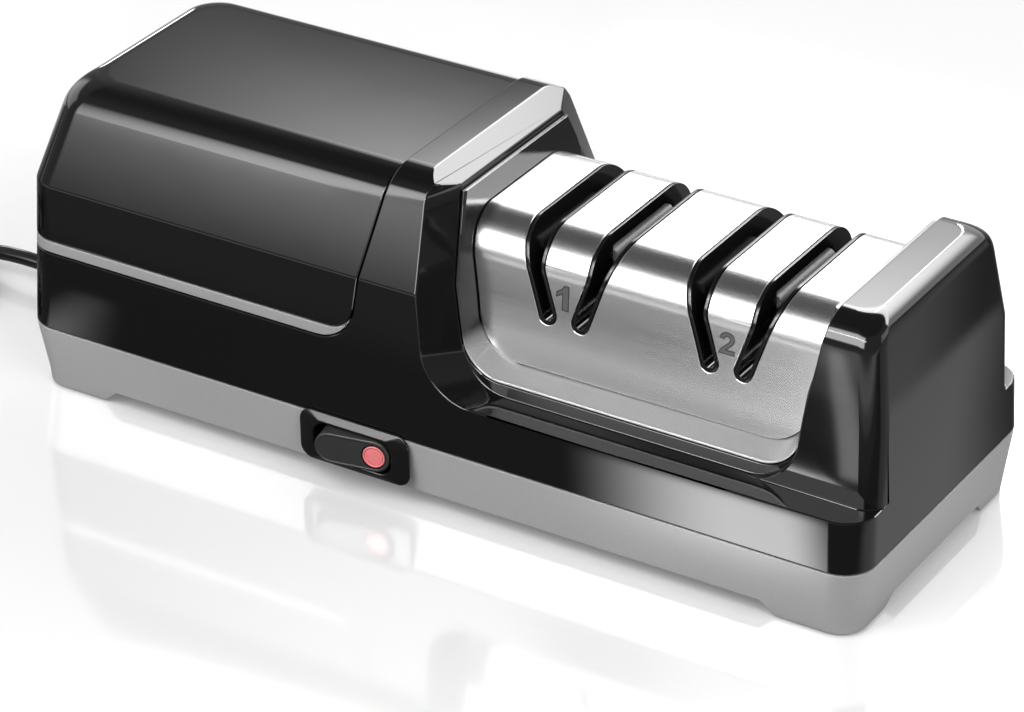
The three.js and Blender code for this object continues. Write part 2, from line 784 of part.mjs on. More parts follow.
function bladePresser(stage, direction) {
  const eye = [stage + direction * presser.pivotOffset, presser.pivotHeight];
  const tip = [stage + direction * roll.offset, roll.height];
  const along = new THREE.Vector2(tip[0] - eye[0], tip[1] - eye[1]).normalize();
  const aside = [-along.y * presser.arm / 2, along.x * presser.arm / 2];
  const arm = [
    [eye[0] - aside[0], eye[1] - aside[1]],
    [tip[0] - aside[0], tip[1] - aside[1]],
    [tip[0] + aside[0], tip[1] + aside[1]],
    [eye[0] + aside[0], eye[1] + aside[1]],
  ];
  return cut(
    join(
      plateXZ(circle(...eye, presser.knuckle, smallSides), -roll.half, roll.half),
      plateXZ(arm, -roll.half, roll.half),
      plateXZ(circle(...tip, roll.radius, smallSides), -roll.half, roll.half),
    ),
    plateXZ(circle(...eye, presser.pin + gap, smallSides), -farReach, farReach),
  );
}

function presserPin(stage, direction) {
  const eye = [stage + direction * presser.pivotOffset, presser.pivotHeight];
  const half = ear.start + ear.thick;
  return plateXZ(circle(...eye, presser.pin, smallSides), -half, half);
}

function grindingDisc(stage, direction) {
  const at = (offset) => stage + direction * offset;
  const outer = disc.inner + disc.rim + disc.hub;
  return turned([
    [at(disc.inner), disc.cup],
    [at(disc.inner), discRadius],
    [at(disc.inner + disc.rim), discRadius],
    [at(disc.inner + disc.rim), disc.hubRadius],
    [at(outer), disc.hubRadius],
    [at(outer), shaftRadius + gap],
    [at(outer - disc.floor), shaftRadius + gap],
    [at(outer - disc.floor), disc.cup],
  ], circleSides);
}

function discSpring(stage) {
  const half = disc.inner + disc.rim + disc.hub - disc.floor - gap;
  return turned([
    [stage - half, spring.outer - spring.wire],
    [stage + half, spring.outer - spring.wire],
    [stage + half, spring.outer],
    [stage - half, spring.outer],
  ]);
}

// Drive line

// Middles of the three bearing brackets, before, between and after the stages.
function bracketSpots() {
  const reach = disc.inner + disc.rim + disc.hub + bracket.lead + bracket.thick / 2;
  const [first, second] = stageCentres;
  return [first - reach, (first + second) / 2, second + reach];
}

function bearingBracket(x) {
  const foot = baseFloorTop + gap;
  const outline = [
    [-bracket.footHalf, foot],
    [bracket.footHalf, foot],
    [bracket.footHalf, foot + bracket.footHigh],
    [bracket.bossRadius, foot + 2 * bracket.footHigh],
    [bracket.bossRadius, axisHeight],
    [-bracket.bossRadius, axisHeight],
    [-bracket.bossRadius, foot + 2 * bracket.footHigh],
    [-bracket.footHalf, foot + bracket.footHigh],
  ];
  const ends = [x - bracket.thick / 2, x + bracket.thick / 2];
  return cut(
    join(plateYZ(outline, ...ends), plateYZ(circle(0, axisHeight, bracket.bossRadius), ...ends)),
    plateYZ(circle(0, axisHeight, bush.outer + gap), ends[0] - overrun, ends[1] + overrun),
  );
}

function shaftBush(x) {
  return turned([
    [x - bracket.thick / 2, shaftRadius + gap],
    [x + bracket.thick / 2, shaftRadius + gap],
    [x + bracket.thick / 2, bush.outer],
    [x - bracket.thick / 2, bush.outer],
  ]);
}

// The drive shaft is round in its bushes and has six flats where the discs slide.
function driveShaft() {
  const flats = stageCentres.map((stage) => {
    const half = disc.inner + disc.rim + disc.hub + gap;
    return [stage - half, stage + half];
  });
  const round = [
    [driveStart, flats[0][0] + gap],
    [flats[0][1] - gap, flats[1][0] + gap],
    [flats[1][1] - gap, driveEnd],
  ];
  return join(
    ...round.map((ends) => plateYZ(circle(0, axisHeight, shaftRadius), ...ends)),
    ...flats.map((ends) => plateYZ(circle(0, axisHeight, shaftRadius, shaftFlats), ...ends)),
  );
}

function tube(start, end, inner, outer, sides = smallSides) {
  return turned([[start, inner], [end, inner], [end, outer], [start, outer]], sides);
}

function coolingFan() {
  const hub = tube(fanStart, fanEnd, shaftRadius + gap, fan.hub);
  const blades = [];
  for (let i = 0; i < fan.count; i += 1) {
    const geometry = new THREE.BoxGeometry(fan.long, fan.blade, fan.radius - fan.hub + fan.blade);
    geometry.translate(0, 0, (fan.radius + fan.hub - fan.blade) / 2);
    geometry.rotateX(2 * Math.PI * i / fan.count);
    geometry.translate((fanStart + fanEnd) / 2, 0, axisHeight);
    blades.push(solid(geometry));
  }
  return join(hub, ...blades);
}

// Motor

const motorShaftEnd = driveStart - 2 * gap;

function motorRotor() {
  const stackStart = canStart + 2 * magnet.endMargin;
  const stackEnd = canEnd - 2 * magnet.endMargin;
  return turned([
    [canStart - bellThick / 2, 0],
    [motorShaftEnd, 0],
    [motorShaftEnd, shaftRadius],
    [stackEnd + magnet.endMargin, shaftRadius],
    [stackEnd + magnet.endMargin, 2 * shaftRadius],
    [stackEnd, 2 * shaftRadius],
    [stackEnd, rotorRadius],
    [stackStart, rotorRadius],
    [stackStart, shaftRadius],
    [canStart - bellThick / 2, shaftRadius],
  ], circleSides);
}

const motorCan = () => tube(canStart + gap, canEnd - gap, canRadius - canWall, canRadius, circleSides);

function frontBell() {
  return turned([
    [canEnd, shaftRadius + gap],
    [canEnd + bellThick + gap, shaftRadius + gap],
    [canEnd + bellThick + gap, canRadius / 2],
    [canEnd + bellThick / 2, canRadius / 2],
    [canEnd + bellThick / 2, canRadius],
    [canEnd, canRadius],
  ], circleSides);
}

function rearBell() {
  const back = canStart - bellThick;
  return turned([
    [back, 0],
    [back, canRadius / 2],
    [canStart - bellThick / 2, canRadius / 2],
    [canStart - bellThick / 2, canRadius],
    [canStart, canRadius],
    [canStart, shaftRadius + gap],
    [canStart - bellThick / 2 - gap, shaftRadius + gap],
    [canStart - bellThick / 2 - gap, 0],
  ], circleSides);
}

function motorMagnet(direction) {
  const outer = canRadius - canWall - gap;
  const inner = outer - magnet.thick;
  const span = 2 * Math.PI * magnet.spanShare;
  const arc = (radius, share) => {
    const angle = direction * Math.PI / 2 + span * (share - 1 / 2);
    return [radius * Math.cos(angle), axisHeight + radius * Math.sin(angle)];
  };
  const shares = Array.from({ length: smallSides + 1 }, (_, i) => i / smallSides);
  const outline = [
    ...shares.map((share) => arc(outer, share)),
    ...[...shares].reverse().map((share) => arc(inner, share)),
  ];
  return plateYZ(outline, canStart + magnet.endMargin, canEnd - magnet.endMargin);
}

function motorCradle() {
  const foot = baseFloorTop + gap;
  const start = canStart + cradle.margin;
  const end = canEnd - cradle.margin;
  const rib = box2(-cradle.half, cradle.half, foot, foot + cradle.high);
  return cut(
    join(
      block(start, end, -cradle.half, cradle.half, foot, foot + cradle.plate),
      plateYZ(rib, start, start + cradle.rib),
      plateYZ(rib, end - cradle.rib, end),
    ),
    plateYZ(circle(0, axisHeight, canRadius + gap), start - overrun, end + overrun),
  );
}

// Switch

const bezelBack = sideFace.footHalf + gap;
const bezelFront = bezelBack + bezel.thick;
const pivotY = sideFace.footHalf - rocker.pivotIn;
const switchBox = (half, high, radius, inset = 0) => box2(
  switchX - half + inset, switchX + half - inset, switchZ - high + inset, switchZ + high - inset, radius,
);

function switchBezel() {
  const flange = plateXZ(switchBox(bezel.half, bezel.high, bezel.corner), -bezelFront, -bezelBack);
  const lipHeights = [bezelFront - bezel.thick / 2, bezelFront, bezelFront + bezel.rise];
  const lipFoot = switchBox(bezel.half, bezel.high, bezel.corner - bezel.rim, bezel.rim);
  const lip = loft(
    [lipFoot, lipFoot, switchBox(bezelInner.half, bezelInner.high, bezel.corner)],
    ([x, z], i) => [x, -lipHeights[i], z],
  );
  const sleeve = plateXZ(
    switchBox(well.half + bezel.wall, well.high + bezel.wall, bezel.corner),
    -bezelFront + bezel.thick / 2,
    bezel.depth - bezelBack,
  );
  return cut(
    join(flange, lip, sleeve),
    plateXZ(switchBox(well.half, well.high, bezel.corner), -farReach, farReach),
    rod(switchX, -pivotY, rocker.pin + gap, 0, switchZ + well.high + bezel.wall + gap),
  );
}

function switchBodyShape() {
  const front = bezelBack - bezel.depth - gap;
  const half = well.half + bezel.wall;
  const shell = plateXZ(
    switchBox(half, well.high + bezel.wall, bezel.wall), -front, -front + switchBody.depth,
  );
  const tabs = [-1, 1].map((side) => block(
    switchX + side * half / 2 - switchBody.tabWidth / 2,
    switchX + side * half / 2 + switchBody.tabWidth / 2,
    -front + switchBody.depth - gap,
    -front + switchBody.depth + switchBody.tab,
    switchZ - bezel.wall / 2,
    switchZ + bezel.wall / 2,
  ));
  return join(shell, ...tabs);
}

// The rocker and its lens are drawn about the pivot, with the face towards -Y.
function switchRocker() {
  const face = box2(-rocker.half, rocker.half, -rocker.high, rocker.high, rocker.high * slotEndShare);
  const pinHalf = well.high + bezel.wall - gap;
  return cut(
    join(
      plateXZ(face, -rocker.face, rocker.back),
      rod(0, 0, rocker.pin, -pinHalf, pinHalf),
    ),
    plateXZ(circle(lamp.offset, 0, lamp.radius + gap), -farReach, lamp.thick + gap - rocker.face),
  );
}

function switchLamp() {
  return plateXZ(circle(lamp.offset, 0, lamp.radius), -rocker.face, lamp.thick - rocker.face);
}

// Board, screws and wiring

function rectifierBoard() {
  const foot = baseFloorTop + gap;
  const x = board.endMargin - endFace.footHalf;
  const y = sideFace.footHalf - board.sideMargin;
  const card = block(
    x - board.long / 2, x + board.long / 2, y, y + board.thick, foot, foot + board.high,
  );
  const middle = foot + board.high / 2;
  const capacitor = plateXZ(
    circle(x + board.part, middle, drum.radius, smallSides), y + board.thick / 2, y + drum.long,
  );
  const bridge = block(
    x - board.part - drum.radius, x - board.part + drum.radius, y + board.thick / 2, y + drum.radius,
    middle - drum.radius, middle + drum.radius,
  );
  return join(card, capacitor, bridge);
}

function baseScrew(x, y) {
  return join(
    rod(x, y, screw.head, screw.seat - screw.headHigh, screw.seat),
    rod(x, y, screw.shank, screw.seat - screw.headHigh / 2, screw.tip),
  );
}

// The strain relief's axis: its root on the left wall and the way it points, slightly down.
const reliefRoot = new THREE.Vector3(
  -baseHalf(endFace, base.archEndInset, relief.height), 0, relief.height,
);
const reliefWay = new THREE.Vector3(-Math.cos(reliefTilt), 0, -Math.sin(reliefTilt));
const reliefAt = (distance) => reliefRoot.clone().addScaledVector(reliefWay, distance);

// A round piece on the relief's axis, between two distances from the wall.
function onRelief(start, end, startRadius, endRadius) {
  const geometry = new THREE.CylinderGeometry(endRadius, startRadius, end - start, smallSides);
  const turn = new THREE.Quaternion().setFromUnitVectors(alongY, reliefWay);
  geometry.applyQuaternion(turn);
  const middle = reliefAt((start + end) / 2);
  geometry.translate(middle.x, middle.y, middle.z);
  return solid(geometry);
}

const reliefInside = -base.wall - gap - relief.flangeThick;
const reliefNeck = (radius) => onRelief(reliefInside, relief.root, radius, radius);

function strainRelief() {
  const inside = reliefAt(reliefInside);
  const flange = block(
    inside.x - relief.flangeThick, inside.x, -relief.flange, relief.flange,
    baseFloorTop + gap, relief.height + relief.tip,
  );
  return join(
    onRelief(2 * gap, relief.long, relief.root, relief.tip),
    onRelief(reliefInside + gap, relief.root, relief.neck, relief.neck),
    flange,
  );
}

// A round cord along chosen points, extruded along its path.
function cordAlong(points, radius, sides, steps) {
  const path = new THREE.CatmullRomCurve3(points.map((point) => new THREE.Vector3(...point)));
  const section = new THREE.Shape(circle(0, 0, radius, sides).map(([x, y]) => new THREE.Vector2(x, y)));
  return solid(new THREE.ExtrudeGeometry(section, { steps, extrudePath: path, bevelEnabled: false }));
}

const cordStart = reliefAt(relief.long + gap);
const cordStraight = reliefAt(relief.long + gap + 2 * cordRadius);

const coilX = -endFace.footHalf - coil.fromWall;

function powerCord() {
  return cordAlong([
    cordStart.toArray(),
    cordStraight.toArray(),
    ...cordPoints.map(([fromCoil, height]) => [coilX + fromCoil, 0, height]),
    [coilX + 2 * cordRadius + gap, 0, cordRadius],
  ], cordRadius, cordSides, cordSteps);
}

function innerLead() {
  const inside = reliefAt(reliefInside);
  const body = switchX - well.half - bezel.wall;
  const plugY = bezel.depth + gap + switchBody.depth / 2 - bezelBack;
  const way = canStart + cradle.margin - inside.x;
  const middle = [
    ...leadWayShares.map((share) => [inside.x + way * share, lead.height]),
    [canStart + lead.pastCan, lead.height],
    [switchX - lead.toSwitch, lead.height + lead.rise],
  ].map(([x, z], i) => [x, leadSideMargins[i] - sideFace.footHalf, z]);
  return cordAlong([
    [inside.x + gap, 0, relief.height],
    [inside.x + 3 * leadRadius, 0, relief.height],
    ...middle,
    [body - 3 * leadRadius, plugY, switchZ],
    [body - gap, plugY, switchZ],
  ], leadRadius, cordSides, leadSteps);
}

// Middle line of the coil: in along the lower layer, out again along the upper one.
const coilOuter = coil.innerRadius + coil.pitch * coil.turns / 2;
const coilY = -coilOuter;
const coilEndX = coilX - coilOuter;
const coilTopHeight = cordRadius + coil.layerRise;

function coilLine() {
  const points = [
    new THREE.Vector3(coilX + 2 * cordRadius, 0, cordRadius),
    new THREE.Vector3(coilX + cordRadius, 0, cordRadius),
  ];
  const count = coil.turns * coilSteps;
  const turnAngle = 2 * Math.PI;
  for (let i = 0; i <= count; i += 1) {
    const fromReversal = turnAngle * (i - count / 2) / coilSteps;
    const radius = coil.innerRadius + coil.pitch * Math.abs(fromReversal) / turnAngle;
    const climb = THREE.MathUtils.clamp(fromReversal / Math.PI + 1 / 2, 0, 1);
    const angle = Math.PI / 2 + turnAngle * i / coilSteps;
    points.push(new THREE.Vector3(
      coilX + radius * Math.cos(angle),
      coilY + radius * Math.sin(angle),
      cordRadius + coil.layerRise * climb,
    ));
  }
  points.push(new THREE.Vector3(coilEndX, coilY - coil.tail / 2, coilTopHeight));
  points.push(new THREE.Vector3(coilEndX, coilY - coil.tail, coilTopHeight));
  return points;
}

// Least gap of the coil to itself, leaving out each point's own neighbours along the cord.
function coilGap(points) {
  let least = farReach;
  for (let i = 0; i < points.length; i += 1) {
    for (let j = i + coilSteps / 2; j < points.length; j += 1) {
      least = Math.min(least, points[i].distanceTo(points[j]));
    }
  }
  return least - 2 * cordRadius;
}

function cordCoil() {
  const line = coilLine();
  console.log(`least gap in the coil: ${coilGap(line).toFixed(2)} mm`);
  const ring = circle(0, 0, cordRadius, coilSides).map(([x, y]) => [y, -x]);
  const outlines = line.map(() => ring);
  const frames = line.map((point, i) => {
    const before = line[Math.max(i - 1, 0)];
    const after = line[Math.min(i + 1, line.length - 1)];
    const forward = after.clone().sub(before).normalize();
    const aside = new THREE.Vector3().crossVectors(forward, alongZ).normalize();
    return [aside, new THREE.Vector3().crossVectors(aside, forward)];
  });
  return loft(outlines, ([x, y], i) => (
    line[i].clone().addScaledVector(frames[i][0], x).addScaledVector(frames[i][1], y).toArray()
  ));
}

function mainsPlug() {
  const start = coilY - coil.tail - gap;
  const front = start - plug.neck;
  const sleeve = plateXZ(circle(coilEndX, coilTopHeight, plug.sleeve, smallSides), front - gap, start);
  const body = plateXZ(
    box2(coilEndX - plug.half, coilEndX + plug.half, 0, 2 * plug.high, plug.corner), front - plug.long, front,
  );
  return join(sleeve, body);
}

function plugBlade(side) {
  const start = coilY - coil.tail - plug.neck - plug.long - 2 * gap;
  const x = coilEndX + side * blade.spacing / 2;
  return block(
    x - blade.thick / 2, x + blade.thick / 2, start - blade.long, start,
    plug.high - blade.high / 2, plug.high + blade.high / 2,
  );
}

// The object, with its bounding box centred: the rocker's proud end is its foremost point.

const rockerReach = pivotY + rocker.face * Math.cos(rockerTilt) + rocker.half * Math.sin(rockerTilt);
const frameShift = (rockerReach - sideFace.footHalf) / 2;

const sharpener = new THREE.Group();
const machine = new THREE.Group();
machine.position.y = frameShift;
sharpener.add(machine);

function add(name, shape, finish, group = machine) {
  const mesh = new THREE.Mesh(geometryOf(shape), new THREE.MeshStandardMaterial(finish));
  mesh.name = name;
  group.add(mesh);
}

add('base_shell', baseShell(), satinGrey);
padSpots.forEach(([x, y], i) => add(`foot_pad_${i + 1}`, footPad(x, y), rubberGrey));
add('upper_housing', upperHousing(), glossBlack);
add('motor_cover', motorCover(), glossBlack);
add('trim_band', trimBand(), satinSilver);
add('module_surround', moduleSurround(), satinSilver);
add('steel_cover', steelCover(), stainless);

eachSlot.forEach(([stage, direction], i) => {
  add(`slot_guide_${i + 1}`, slotGuide(stage, direction), darkPlastic);
  add(`blade_presser_${i + 1}`, bladePresser(stage, direction), rollGrey);
  add(`presser_pin_${i + 1}`, presserPin(stage, direction), steelGrey);
  add(`grinding_disc_${i + 1}`, grindingDisc(stage, direction), abrasive);
});

stageCentres.forEach((stage, i) => add(`disc_spring_${i + 1}`, discSpring(stage), steelGrey));
add('drive_shaft', driveShaft(), steelGrey);
add('shaft_coupling', tube(couplingStart, couplingEnd, shaftRadius + gap, coupling.radius), darkPlastic);
add('cooling_fan', coolingFan(), darkPlastic);
add('motor_rotor', motorRotor(), copper);
add('motor_can', motorCan(), steelGrey);
add('motor_front_bell', frontBell(), steelGrey);
add('motor_rear_bell', rearBell(), steelGrey);
add('motor_magnet_1', motorMagnet(1), rubberGrey);
add('motor_magnet_2', motorMagnet(-1), rubberGrey);
add('motor_cradle', motorCradle(), darkPlastic);

bracketSpots().forEach((x, i) => {
  add(`bearing_bracket_${i + 1}`, bearingBracket(x), darkPlastic);
  add(`shaft_bush_${i + 1}`, shaftBush(x), bronze);
});

const rockerGroup = new THREE.Group();
rockerGroup.position.set(switchX, -pivotY, switchZ);
rockerGroup.rotation.z = rockerTilt;
machine.add(rockerGroup);
add('switch_bezel', switchBezel(), darkPlastic);
add('switch_body', switchBodyShape(), darkPlastic);
add('switch_rocker', switchRocker(), rockerGrey, rockerGroup);
add('switch_lamp', switchLamp(), lampRed, rockerGroup);

add('rectifier_board', rectifierBoard(), boardGreen);
screwSpots().forEach(([x, y], i) => add(`base_screw_${i + 1}`, baseScrew(x, y), steelGrey));
add('strain_relief', strainRelief(), darkPlastic);
add('power_cord', powerCord(), darkPlastic);
add('cord_coil', cordCoil(), darkPlastic);
add('mains_plug', mainsPlug(), darkPlastic);
add('plug_blade_1', plugBlade(-1), steelGrey);
add('plug_blade_2', plugBlade(1), steelGrey);
add('inner_lead', innerLead(), darkPlastic);

export default sharpener;
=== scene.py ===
"""Looks of the electric knife sharpener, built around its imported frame.

Shapes are drawn in millimetres about the middle of the case, and land() brings each one to metres.
The switch side is -Y, the cord leaves at -X, and the floor is z = 0.
"""

import math

import bmesh
import bpy
from mathutils import Matrix, Vector


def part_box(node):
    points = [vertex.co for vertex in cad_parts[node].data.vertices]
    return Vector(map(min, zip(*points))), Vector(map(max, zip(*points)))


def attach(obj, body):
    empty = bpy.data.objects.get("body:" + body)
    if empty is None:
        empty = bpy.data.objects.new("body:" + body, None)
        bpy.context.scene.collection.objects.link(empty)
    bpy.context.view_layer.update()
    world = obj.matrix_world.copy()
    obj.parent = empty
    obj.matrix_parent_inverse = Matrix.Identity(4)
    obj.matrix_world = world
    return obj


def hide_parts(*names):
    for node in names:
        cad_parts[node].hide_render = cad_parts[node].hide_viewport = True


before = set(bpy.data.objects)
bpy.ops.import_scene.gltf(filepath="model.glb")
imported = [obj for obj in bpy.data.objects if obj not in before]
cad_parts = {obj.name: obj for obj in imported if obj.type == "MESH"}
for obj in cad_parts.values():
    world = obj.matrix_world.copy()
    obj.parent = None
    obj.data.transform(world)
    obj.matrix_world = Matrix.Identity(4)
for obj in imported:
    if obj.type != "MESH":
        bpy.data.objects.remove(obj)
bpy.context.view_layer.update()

# Sizes that several pieces share

MM = 0.001
GAP = 0.3  # between neighbouring pieces
REACH = 300  # further out than any piece
OVERRUN = 3  # how far a cutter runs past what it cuts
SEAM = 18.1  # where base and housing meet
ARCH_TOP = 4.06
CASE_HALF = 120  # half the case's length at the seam
END_SPREAD = 1.64  # how much narrower the base is at its arches, at an end
SIDE_SPREAD = 1.75

case_low, case_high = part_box("base_shell")
CASE_Y = (case_low.y + case_high.y) / 2


def in_metres(place):
    """A place drawn in millimetres about the case, as the scene has it."""
    return place * MM + Vector((0, CASE_Y, 0))


# Camera

VIEW_WIDTH = 1024
AZIMUTH = math.radians(32.397)
ELEVATION = math.radians(29.877)
ROLL = math.radians(-0.822)
FOCAL_PIXELS = 4262.64
DISTANCE = 1070.11
SIDE_STEP = 0.689
UP_STEP = -18.786
SENSOR = 36
NEAREST, FURTHEST = 0.01, 50  # clipping, in metres


def place_camera():
    """Sets the camera where the photograph was taken from."""
    back = Vector((
        math.sin(AZIMUTH) * math.cos(ELEVATION),
        -math.cos(AZIMUTH) * math.cos(ELEVATION),
        math.sin(ELEVATION),
    ))
    level = Vector((math.cos(AZIMUTH), math.sin(AZIMUTH), 0))
    upright = back.cross(level)
    right = level * math.cos(ROLL) + upright * math.sin(ROLL)
    up = upright * math.cos(ROLL) - level * math.sin(ROLL)
    spot = back * DISTANCE - right * SIDE_STEP - up * UP_STEP
    data = bpy.data.cameras.new("photo_camera")
    camera = bpy.data.objects.new("photo_camera", data)
    bpy.context.scene.collection.objects.link(camera)
    turn = Matrix((right, up, back)).transposed().to_4x4()
    camera.matrix_world = Matrix.Translation(in_metres(spot)) @ turn
    data.sensor_width = SENSOR
    data.lens = FOCAL_PIXELS / VIEW_WIDTH * SENSOR
    data.clip_start, data.clip_end = NEAREST, FURTHEST
    bpy.context.scene.camera = camera


place_camera()

# Finishes


class Wire:
    """A number that varies over a surface. Sums and products of wires become Math nodes."""

    def __init__(self, finish, socket):
        self.finish = finish
        self.socket = socket

    def math(self, operation, *terms):
        made = self.finish.node("ShaderNodeMath", {"operation": operation}, dict(enumerate(terms)))
        return Wire(self.finish, made.outputs[0])

    def __add__(self, other):
        return self.math("ADD", self, other)

    def __radd__(self, other):
        return self.math("ADD", other, self)

    def __sub__(self, other):
        return self.math("SUBTRACT", self, other)

    def __rsub__(self, other):
        return self.math("SUBTRACT", other, self)

    def __mul__(self, other):
        return self.math("MULTIPLY", self, other)

    def __rmul__(self, other):
        return self.math("MULTIPLY", other, self)

    def above(self, limit):
        """One above a limit, nothing below it."""
        return self.math("GREATER_THAN", self, limit)

    def clamped(self):
        """Held between nothing and one."""
        return self.math("MINIMUM", self.math("MAXIMUM", self, 0), 1)

    def ramp(self, start, stop, first, last):
        """A smooth step from one value to another."""
        made = self.finish.node("ShaderNodeMapRange", {"interpolation_type": "SMOOTHSTEP"}, {
            0: self, 1: start, 2: stop, 3: first, 4: last,
        })
        return Wire(self.finish, made.outputs[0])

    def swell(self, rise, full, fade, gone):
        """Nothing, then one from full to fade, then nothing again."""
        return self.ramp(rise, full, 0, 1) * self.ramp(fade, gone, 1, 0)


class Nodes:
    """A node tree, to which one method adds nodes of any kind."""

    def __init__(self, tree):
        self.tree = tree

    def feed(self, socket, value):
        """Gives a socket a value of its own, or links it."""
        if isinstance(value, Wire):
            value = value.socket
        if isinstance(value, bpy.types.NodeSocket):
            self.tree.links.new(value, socket)
        else:
            socket.default_value = value

    def node(self, kind, settings=None, sockets=None):
        """Any node: its settings are set first, then its sockets get values or links."""
        made = self.tree.nodes.new(kind)
        for name, value in (settings or {}).items():
            setattr(made, name, value)
        for name, value in (sockets or {}).items():
            self.feed(made.inputs[name], value)
        return made

    def first(self, kind, **sockets):
        """The first output of a node that needs no settings."""
        return self.node(kind, None, sockets).outputs[0]

    def pick(self, share, first, second):
        """The first shader where the share is 0, the second where it is 1."""
        return self.node("ShaderNodeMixShader", None, {0: share, 1: first, 2: second}).outputs[0]


class Finish(Nodes):
    """One material, with the tools that lay its colour, its gloss and its relief."""

    def __init__(self, name, **plain):
        self.name = name
        self.material = bpy.data.materials.new(name)
        self.material.use_nodes = True
        super().__init__(self.material.node_tree)
        self.principled = self.tree.nodes["Principled BSDF"]
        self.place = self.node("ShaderNodeTexCoord").outputs["Object"]
        self.lay(**plain)

    def lay(self, **sockets):
        """Gives the principled shader's sockets their values or wires."""
        for name, value in sockets.items():
            self.feed(self.principled.inputs[name.replace("_", " ")], value)

    def show(self, shader):
        """Puts another shader in the principled one's place."""
        self.feed(self.tree.nodes["Material Output"].inputs["Surface"], shader)

    def noise(self, scale, detail, stretch=None):
        """A cloudy value about one half, with marks about one over scale metres wide."""
        place = self.place
        if stretch:
            place = self.first("ShaderNodeMapping", Vector=place, Scale=stretch)
        cloud = self.first("ShaderNodeTexNoise", Vector=place, Scale=scale, Detail=detail)
        return Wire(self, cloud)

    def cells(self, scale):
        """Distance to the middle of the nearest cell, for grains and flakes."""
        made = self.node("ShaderNodeTexVoronoi", None, {"Vector": self.place, "Scale": scale})
        return Wire(self, made.outputs["Distance"])

    def rings(self, scale, distortion=0.0):
        """Fine bands, one after the other along the machine."""
        made = self.node("ShaderNodeTexWave", {"bands_direction": "X"}, {
            "Vector": self.place, "Scale": scale, "Distortion": distortion,
        })
        return Wire(self, made.outputs[1])

    def along(self, axis):
        """How far a point lies along X, Y or Z, in metres."""
        split = self.node("ShaderNodeSeparateXYZ", None, {0: self.place})
        return Wire(self, split.outputs[axis])

    def blend(self, low, high, share):
        """A colour between two others."""
        made = self.node("ShaderNodeMix", {"data_type": "RGBA"}, {0: share, 6: low, 7: high})
        return made.outputs[2]

    def colour(self, low, high, share):
        """Base colour between two shades by a varying share."""
        self.lay(Base_Color=self.blend(low, high, share))

    def relief(self, height, depth):
        """Bump of a real depth in metres."""
        self.lay(Normal=self.first("ShaderNodeBump", Distance=depth, Height=height))


FLOW_MARKS = 35  # marks and grains for each metre
PAINT_CLOUDS = 22
PAINT_FLAKES = 2600
PAINT_SKIN = 2400
LIP_TOP, WALL_FOOT = 0.0405, 0.0465  # heights between which silver turns black


def grey(level, warm=0.0):
    return (level * (1 + warm), level, level * (1 - warm), 1)


def moulded(name, shade, roughness, grain, depth):
    """Moulded plastic: even colour with faint flow marks, and a grain of its own size."""
    made = Finish(name)
    flow = made.noise(FLOW_MARKS, 3)
    made.colour(grey(shade * 0.86), grey(shade * 1.14), flow)
    made.lay(Roughness=(flow - 0.5) * (roughness * 0.25) + roughness)
    made.relief(made.noise(grain, 2), depth)
    return made


def gloss_black():
    """Polished black plastic: a very slow ripple, and a haze that hardly varies."""
    made = Finish("gloss_black", IOR=1.5)
    haze = made.noise(9, 3)
    made.colour(grey(0.0035), grey(0.0065), haze)
    made.lay(Roughness=haze * 0.03 + 0.055)
    made.relief(made.noise(45, 1), 0.00002)
    return made


def satin_paint(name, low, high, roughness, metallic):
    """Silver paint: fine flakes in a satin lacquer."""
    made = Finish(name, Metallic=metallic)
    cloud = made.noise(PAINT_CLOUDS, 2)
    flakes = made.cells(PAINT_FLAKES) * 0.5 + cloud * 0.5
    made.colour(grey(low), grey(high), flakes.clamped())
    made.lay(Roughness=cloud * 0.08 + (roughness - 0.04))
    made.relief(made.noise(PAINT_SKIN, 1), 0.000012)
    return made


def surround_paint():
    """Silver lip at the foot, and polished black walls above it."""
    made = Finish("surround_silver", IOR=1.9)
    wall = made.along("Z").ramp(LIP_TOP, WALL_FOOT, 0, 1)
    cloud = made.noise(PAINT_CLOUDS, 2)
    flakes = made.cells(PAINT_FLAKES) * 0.5 + cloud * 0.5
    made.colour(made.blend(grey(0.52), grey(0.64), flakes.clamped()), grey(0.006), wall)
    made.lay(Metallic=0.6 - wall * 0.6, Roughness=cloud * 0.06 + 0.27 - wall * 0.22)
    made.relief(made.noise(PAINT_SKIN, 1), 0.00001)
    return made


def brushed_steel():
    """Stainless sheet with a fine brushing along the machine."""
    made = Finish("stainless", Metallic=1.0)
    long_marks = made.noise(1, 3, stretch=(60, 2600, 2600))
    short_marks = made.noise(1, 2, stretch=(240, 5200, 5200))
    brush = long_marks * 0.6 + short_marks * 0.4
    made.colour(grey(0.54), grey(0.64), brush)
    made.lay(Roughness=brush * 0.08 + 0.2)
    made.relief(short_marks, 0.0000006)
    return made


def abrasive_grit():
    """Bonded grit on the discs: sharp grains in a dull bond, some of them glinting."""
    made = Finish("abrasive_grey")
    grain = made.cells(2400)
    cloud = made.noise(240, 4)
    made.colour(grey(0.10, 0.03), grey(0.30, 0.05), (grain * 0.8 + cloud * 0.3).clamped())
    made.lay(Roughness=0.95 - grain * 0.4)
    made.relief(grain + cloud * 0.5, 0.00016)
    return made


def worked_metal(name, tint, roughness, rings):
    """Turned or drawn metal with fine tool marks round it."""
    made = Finish(name, Metallic=1.0)
    marks = made.rings(rings, 0.4)
    cloud = made.noise(120, 3)
    low = tuple(channel * 0.8 for channel in tint) + (1,)
    made.colour(low, (*tint, 1), (marks * 0.4 + cloud * 0.6).clamped())
    made.lay(Roughness=cloud * 0.18 + (roughness - 0.06))
    made.relief(marks, 0.000008)
    return made


